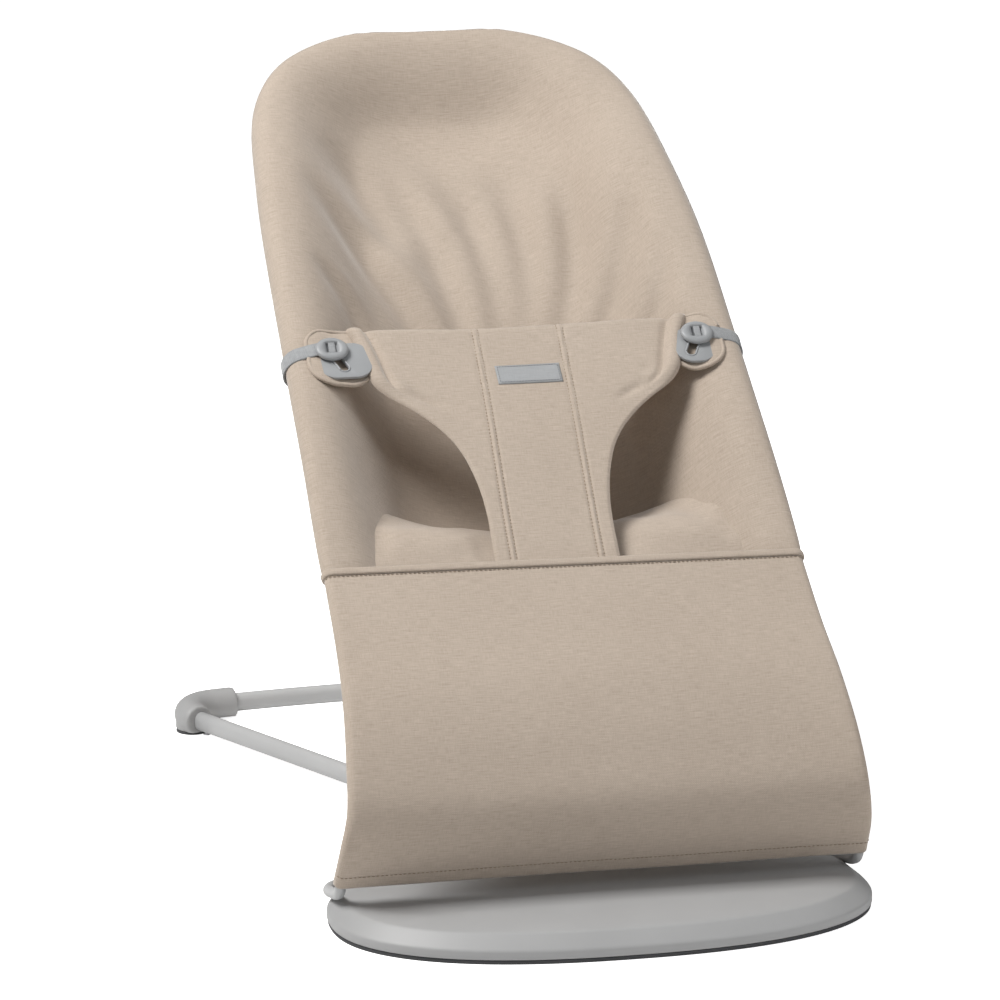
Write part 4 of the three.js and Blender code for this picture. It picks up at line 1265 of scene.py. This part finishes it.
# %% [markdown]
# ## Flaps, keyhole plates and buttons
# Each wing ends in a piped cloth flap with a plastic plate sewn on it. The oval button on the strap passes
# through the plate's slot. These are small turned and cut shapes with rounded edges: discs and rounded
# plates, a boolean for the holes and a bevel for the moulded edge.

# %% Rounded plates and cuts
BUTTON_X, BUTTON_Y = 139 * MM, 197 * MM
SLOT_ANGLE = math.radians(66)
TAB_Y = 188 * MM


def under_fold(sign):
    """How far out the crest of the bib's rolled fold lies, which hides the inner edges of flap and plate."""
    return float(bib_half_width(TAB_Y) + sign * bib_middle(TAB_Y)) - FOLD_WIDTH / 2


def rounded_outline(half_x, half_y, corner, per_corner=10):
    points = []
    for quarter, (sx, sy) in enumerate(((1, 1), (-1, 1), (-1, -1), (1, -1))):
        for angle in np.linspace(0, math.pi / 2, per_corner) + quarter * math.pi / 2:
            points.append((sx * (half_x - corner) + corner * math.cos(angle),
                           sy * (half_y - corner) + corner * math.sin(angle)))
    return np.array(points)


def turned_points(points, angle, x=0.0, y=0.0):
    cosine, sine = math.cos(angle), math.sin(angle)
    return points @ np.array(((cosine, sine), (-sine, cosine))) + (x, y)


def slab(name, outline, low, high, material):
    """An outline in the harness plane, raised from low to high."""
    count = len(outline)
    verts = np.vstack([on_bib(outline[:, 0], outline[:, 1], np.full(count, h)) for h in (low, high)])
    faces = [tuple(range(count))[::-1], tuple(range(count, 2 * count))]
    faces += [(i, (i + 1) % count, count + (i + 1) % count, count + i) for i in range(count)]
    return facing_out(add_mesh(name, verts, faces, material))


def cut_by(piece, *tools):
    for tool in tools:
        modifier = piece.modifiers.new("cut", "BOOLEAN")
        modifier.operation, modifier.solver, modifier.object = "DIFFERENCE", "EXACT", tool
    applied(piece)
    for tool in tools:
        bpy.data.objects.remove(tool)
    return piece


print("plate helpers ready")

# %% Make the flaps
def grid_cut(piece):
    """Cuts upright lines through a slab so that it can bend."""
    work = bmesh.new()
    work.from_mesh(piece.data)
    for step in range(-19, 20):
        everything = work.verts[:] + work.edges[:] + work.faces[:]
        bmesh.ops.bisect_plane(work, geom=everything, plane_co=(step * 8.5 * MM, 0, 0), plane_no=(1, 0, 0))
    work.to_mesh(piece.data)
    work.free()


def over_roll(piece):
    """Lifts the outer part of a flat piece over the padded roll."""
    for vertex in piece.data.vertices:
        rise = 5.2 * MM * float(ease(abs(vertex.co.x), 130 * MM, 152 * MM))
        vertex.co += Vector(OUTWARD * rise)
    piece.data.update()


def flap_piece(side, sign):
    inner, outer = under_fold(sign), 157 * MM
    outline = rounded_outline((outer - inner) / 2, 26 * MM, 17 * MM, 16)
    outline = outline + (sign * (inner + outer) / 2, 194 * MM)
    flap = slab("flap_cloth_" + side, outline, 6.4 * MM, 9.0 * MM, BEIGE_CLOTH)
    grid_cut(flap)
    edge_rounded(flap, 0.9 * MM)
    over_roll(flap)
    cloth_uv(flap, SLOPE)
    closed = np.vstack([outline, outline[:3]])
    line = on_bib(closed[:, 0], closed[:, 1], np.full(len(closed), 7.8 * MM))
    piping = swept_piece("flap_piping_" + side, line, circle(1.8 * MM, 12), BEIGE_CLOTH, up=OUTWARD)
    over_roll(piping)
    cloth_uv(piping, SLOPE)
    return flap, piping


flap_pieces = []
for side, sign in SIDES:
    flap, piping = flap_piece(side, sign)
    finished(flap, "seat", ["bib_flap_" + side])
    finished(piping, "seat")
    flap_pieces += [flap, piping]
print("flaps", len(flap_pieces))


# %% Make the keyhole plates
SLOT_OFFSET = 8.4 * MM


def slot_direction(sign):
    return -math.pi / 2 - sign * (math.pi / 2 - SLOT_ANGLE)


def keyhole_plate(side, sign):
    angle = slot_direction(sign)
    inner, outer = under_fold(sign), 151 * MM
    outline = rounded_outline((outer - inner) / 2, 17 * MM, 13 * MM, 14)
    outline = outline + (sign * (inner + outer) / 2, TAB_Y)
    plate = slab("keyhole_moulding_" + side, outline, 11 * MM, 13.5 * MM, BUTTON_PLASTIC)
    tilt = angle - math.pi / 2
    button_place = (sign * BUTTON_X, BUTTON_Y)
    slot = rounded_outline(3.0 * MM, 12.5 * MM, 2.9 * MM) + (0, SLOT_OFFSET)
    slot = turned_points(slot, tilt, *button_place)
    cut_by(plate, slab("tool", slot, 9 * MM, 16 * MM, BUTTON_PLASTIC))
    edge_rounded(plate, 0.5 * MM)
    plate.data.shade_smooth()
    lip = rounded_outline(3.9 * MM, 13.4 * MM, 3.8 * MM) + (0, SLOT_OFFSET)
    lip = turned_points(lip, tilt, *button_place)
    lip = np.vstack([lip, lip[:3]])
    line = on_bib(lip[:, 0], lip[:, 1], np.full(len(lip), 13.4 * MM))
    rim = swept_piece("keyhole_rim_" + side, line, circle(0.75 * MM, 10), BUTTON_PLASTIC, up=OUTWARD)
    return plate, rim


for side, sign in SIDES:
    plate, rim = keyhole_plate(side, sign)
    finished(plate, "seat", ["keyhole_plate_" + side])
    finished(rim, "seat")
print("keyhole plate", len(plate.data.polygons), "faces")


# %% Make the buttons
BUTTON_SIDES = 56
BUTTON_STRETCH = (1.38, 1.2)


def button_head(side, sign):
    profile = [(0.2, 14.3), (7.6, 14.3), (8.5, 14.6), (8.95, 15.2), (9, 16.2), (8.8, 17.1), (8.3, 17.8),
               (7.5, 18.3), (6.6, 18.5), (6.4, 18.52), (0.2, 18.6)]
    ring = circle(1.0, BUTTON_SIDES) * BUTTON_STRETCH
    verts = np.vstack([on_bib(sign * BUTTON_X + ring[:, 0] * r * MM, BUTTON_Y + ring[:, 1] * r * MM,
                              np.full(BUTTON_SIDES, z * MM)) for r, z in profile])
    faces = ring_faces(len(profile), BUTTON_SIDES, flip=True)
    head = facing_out(add_mesh("button_moulding_" + side, verts, faces, BUTTON_PLASTIC))
    window = rounded_outline(4.6 * MM, 5.2 * MM, 0.8 * MM, 4) + (sign * BUTTON_X, BUTTON_Y)
    cut_by(head, slab("tool", window, 16.2 * MM, 20 * MM, BUTTON_PLASTIC))
    bar_shape = rounded_outline(2.4 * MM, 5.1 * MM, 0.6 * MM, 4) + (sign * BUTTON_X, BUTTON_Y)
    bar = slab("button_bar_" + side, bar_shape, 15.9 * MM, 18.3 * MM, WEBBING)
    cloth_uv(edge_rounded(bar, 0.7 * MM), SLOPE)
    shank_shape = circle(1.9 * MM, 20) + (sign * BUTTON_X, BUTTON_Y)
    shank = slab("button_shank_" + side, shank_shape, 9 * MM, 14 * MM, BUTTON_PLASTIC)
    foot_shape = circle(3 * MM, 28) + (sign * BUTTON_X, BUTTON_Y)
    foot = slab("button_foot_" + side, foot_shape, 8.9 * MM, 10.6 * MM, BUTTON_PLASTIC)
    edge_rounded(foot, 0.4 * MM)
    return head, bar, shank, foot


for side, sign in SIDES:
    head, bar, shank, foot = button_head(side, sign)
    finished(head, "button_" + side, ["button_" + side])
    finished(bar, "button_" + side)
    finished(shank, "button_" + side)
    finished(foot, "button_" + side)
print("button", len(head.data.polygons), "faces")

# %% [markdown]
# ## Straps and label
# A strap is flat webbing, so it is modelled directly: a thin section carried round the padded edge, from
# the button's slots over the roll, outside it and back behind the wire.

# %% Wrap the straps
STRAP_WIDTH, STRAP_THICKNESS = 12 * MM, 1.4 * MM


def strap_path(sign):
    s = HEM_S + BUTTON_Y - 1 * MM
    w = float(half_width(place_at(s)))
    radius = float(roll_radius(place_at(s))) + 1.6 * MM
    turn = np.radians(np.linspace(8, 190, 26))
    x = sign * (w + radius * np.sin(turn))
    h = radius * np.cos(turn)
    start = np.linspace(0, 1, 10)[:, None]
    begin = np.array((sign * (BUTTON_X + 6 * MM), 15.6 * MM))
    first = np.array((x[0], h[0]))
    lead = begin + (first - begin) * start
    lead[:, 1] += 0.4 * MM * np.sin(math.pi * start[:, 0])
    x, h = np.concatenate([lead[:-1, 0], x]), np.concatenate([lead[:-1, 1], h])
    slant = np.linspace(2 * MM, -8 * MM, len(x))
    return on_bib(x, np.full_like(x, BUTTON_Y) + slant, h)


for side, sign in SIDES:
    path = strap_path(sign)
    verts, faces = sweep(path, oblong(STRAP_THICKNESS, STRAP_WIDTH, 6), up=ALONG)
    uv = np.column_stack([np.tile(np.linspace(0, 0.026, 12), len(path)),
                          np.repeat(np.linspace(0, 0.07, len(path)), 12)])
    strap = facing_out(add_mesh("strap_webbing_" + side, verts, faces, WEBBING, uv))
    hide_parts("strap_" + side)
    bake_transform(strap)
print("straps", len(path), "steps")

# %% Sew on the label
LABEL_X, LABEL_Y, LABEL_HALF = 6.5 * MM, 172 * MM, (24.5 * MM, 9.3 * MM)


def label_piece():
    outline = rounded_outline(*LABEL_HALF, 1.5 * MM, 5)
    columns, rows = 33, 13
    x = np.linspace(-1, 1, columns)[None] * LABEL_HALF[0]
    y = np.linspace(-1, 1, rows)[:, None] * LABEL_HALF[1]
    x, y = np.broadcast_arrays(x, y)
    edge = np.minimum(LABEL_HALF[0] - np.abs(x), LABEL_HALF[1] - np.abs(y))
    lift = 0.9 * MM - 0.4 * MM * (1 - ease(edge, 0, 1.6 * MM))
    points = bib_surface(x + LABEL_X, y + LABEL_Y) + lift[..., None] * OUTWARD
    label = grid_piece("label_cloth", points, LABEL_CLOTH, np.stack([x, y], axis=-1))
    solidified(label, 0.5 * MM)
    inner = turned_points(outline * (0.93, 0.82), 0, LABEL_X, LABEL_Y)
    inner = np.vstack([inner, inner[:1]])
    border = bib_surface(inner[:, 0], inner[:, 1]) + OUTWARD * 1.0 * MM
    return label, stitches("label_stitches", [border], GREY_THREAD, 2.2 * MM, 0.28 * MM)


label, label_stitches = label_piece()
finished(label, "seat", ["woven_label"])
finished(label_stitches, "seat")
print("label", len(label.data.polygons), "faces")

# %% [markdown]
# ## Flat sizes of the cloth
# Each sheet keeps its flat size in its cloth UV map. The bib's comes from its outline, so that check
# means something. The leg panel's comes from its own section and length, and the rear cover's area is
# that of its own mesh, so those two agree by construction and would not show a stretch.

print("cloth sheets built")

# %% [markdown]
# ## Finishes for the frame pieces that still show
# Screws, bearings and wires inside the cloth keep their own meshes and only get a finish.

# %% Paint the engineering pieces
FRAME_FINISHES = {
    "grey_plastic": PLATE_PLASTIC, "button_plastic": BUTTON_PLASTIC, "painted_steel": POWDER_COAT,
    "dark_rubber": RUBBER, "spring_steel": STEEL, "zinc_steel": STEEL, "beige_cloth": BEIGE_CLOTH,
    "grey_webbing": WEBBING,
}
for entry in frame["record"]["subparts"]:
    node = frame["nodes"][entry["node"]]
    node.data.materials.clear()
    node.data.materials.append(FRAME_FINISHES[entry["material_slot"]])
print("painted", len(frame["nodes"]), "nodes")

# %% [markdown]
# ## Floor and light
# A white studio: a seamless pale floor, a large soft light high on the left, a weaker one from the right,
# and a dim even surround. Large lights keep every shadow soft, and the hollow of the seat stays dark.


# %% Lay the floor
def stage_floor():
    material, tree, shader = new_material("studio_floor")
    shader.inputs["Base Color"].default_value = (0.93, 0.93, 0.93, 1)
    shader.inputs["Roughness"].default_value = 0.9
    shader.inputs["Emission Color"].default_value = (1, 1, 1, 1)
    ray = tree.nodes.new("ShaderNodeLightPath")
    glow = math_node(tree, "MULTIPLY", ray.outputs["Is Camera Ray"], 0.85)
    tree.links.new(glow, shader.inputs["Emission Strength"])
    shader.inputs["Specular IOR Level"].default_value = 0.1
    floor = add_mesh("floor", [(-8, -6, 0), (8, -6, 0), (8, 14, 0), (-8, 14, 0)], [(0, 1, 2, 3)], material)
    return floor


stage_floor()


# %% Hang the lights
def area_light(name, place, target, size, watts, colour=(1, 1, 1)):
    data = bpy.data.lights.new(name, "AREA")
    data.shape, data.size, data.energy, data.color = "SQUARE", size, watts, colour
    light = bpy.data.objects.new(name, data)
    light.location = place
    light.rotation_euler = (Vector(target) - Vector(place)).to_track_quat("-Z", "Y").to_euler()
    bpy.context.scene.collection.objects.link(light)
    return light


SEAT_MIDDLE = (0, 0.25, 0.25)
SURROUND = 0.12  # how brightly the white surround lights the seat; the camera sees it as pure white
area_light("key", (-1.7, 0.1, 2.9), SEAT_MIDDLE, 1.3, 110, (1.0, 0.99, 0.975))
area_light("front", (-1.6, -3.0, 1.5), SEAT_MIDDLE, 1.8, 3)
area_light("right", (2.4, -1.6, 1.6), SEAT_MIDDLE, 2.0, 28)
area_light("top", (0.3, 1.2, 2.7), SEAT_MIDDLE, 1.8, 8)
world = bpy.data.worlds.new("studio")
world.use_nodes = True
tree = world.node_tree
background = tree.nodes["Background"]
background.inputs[0].default_value = (1, 1, 1, 1)
ray = tree.nodes.new("ShaderNodeLightPath")
seen = tree.nodes.new("ShaderNodeMapRange")
seen.inputs["To Min"].default_value, seen.inputs["To Max"].default_value = SURROUND, 1.0
tree.links.new(ray.outputs["Is Camera Ray"], seen.inputs["Value"])
tree.links.new(seen.outputs["Result"], background.inputs[1])
bpy.context.scene.world = world
bpy.context.scene.view_settings.view_transform = "Standard"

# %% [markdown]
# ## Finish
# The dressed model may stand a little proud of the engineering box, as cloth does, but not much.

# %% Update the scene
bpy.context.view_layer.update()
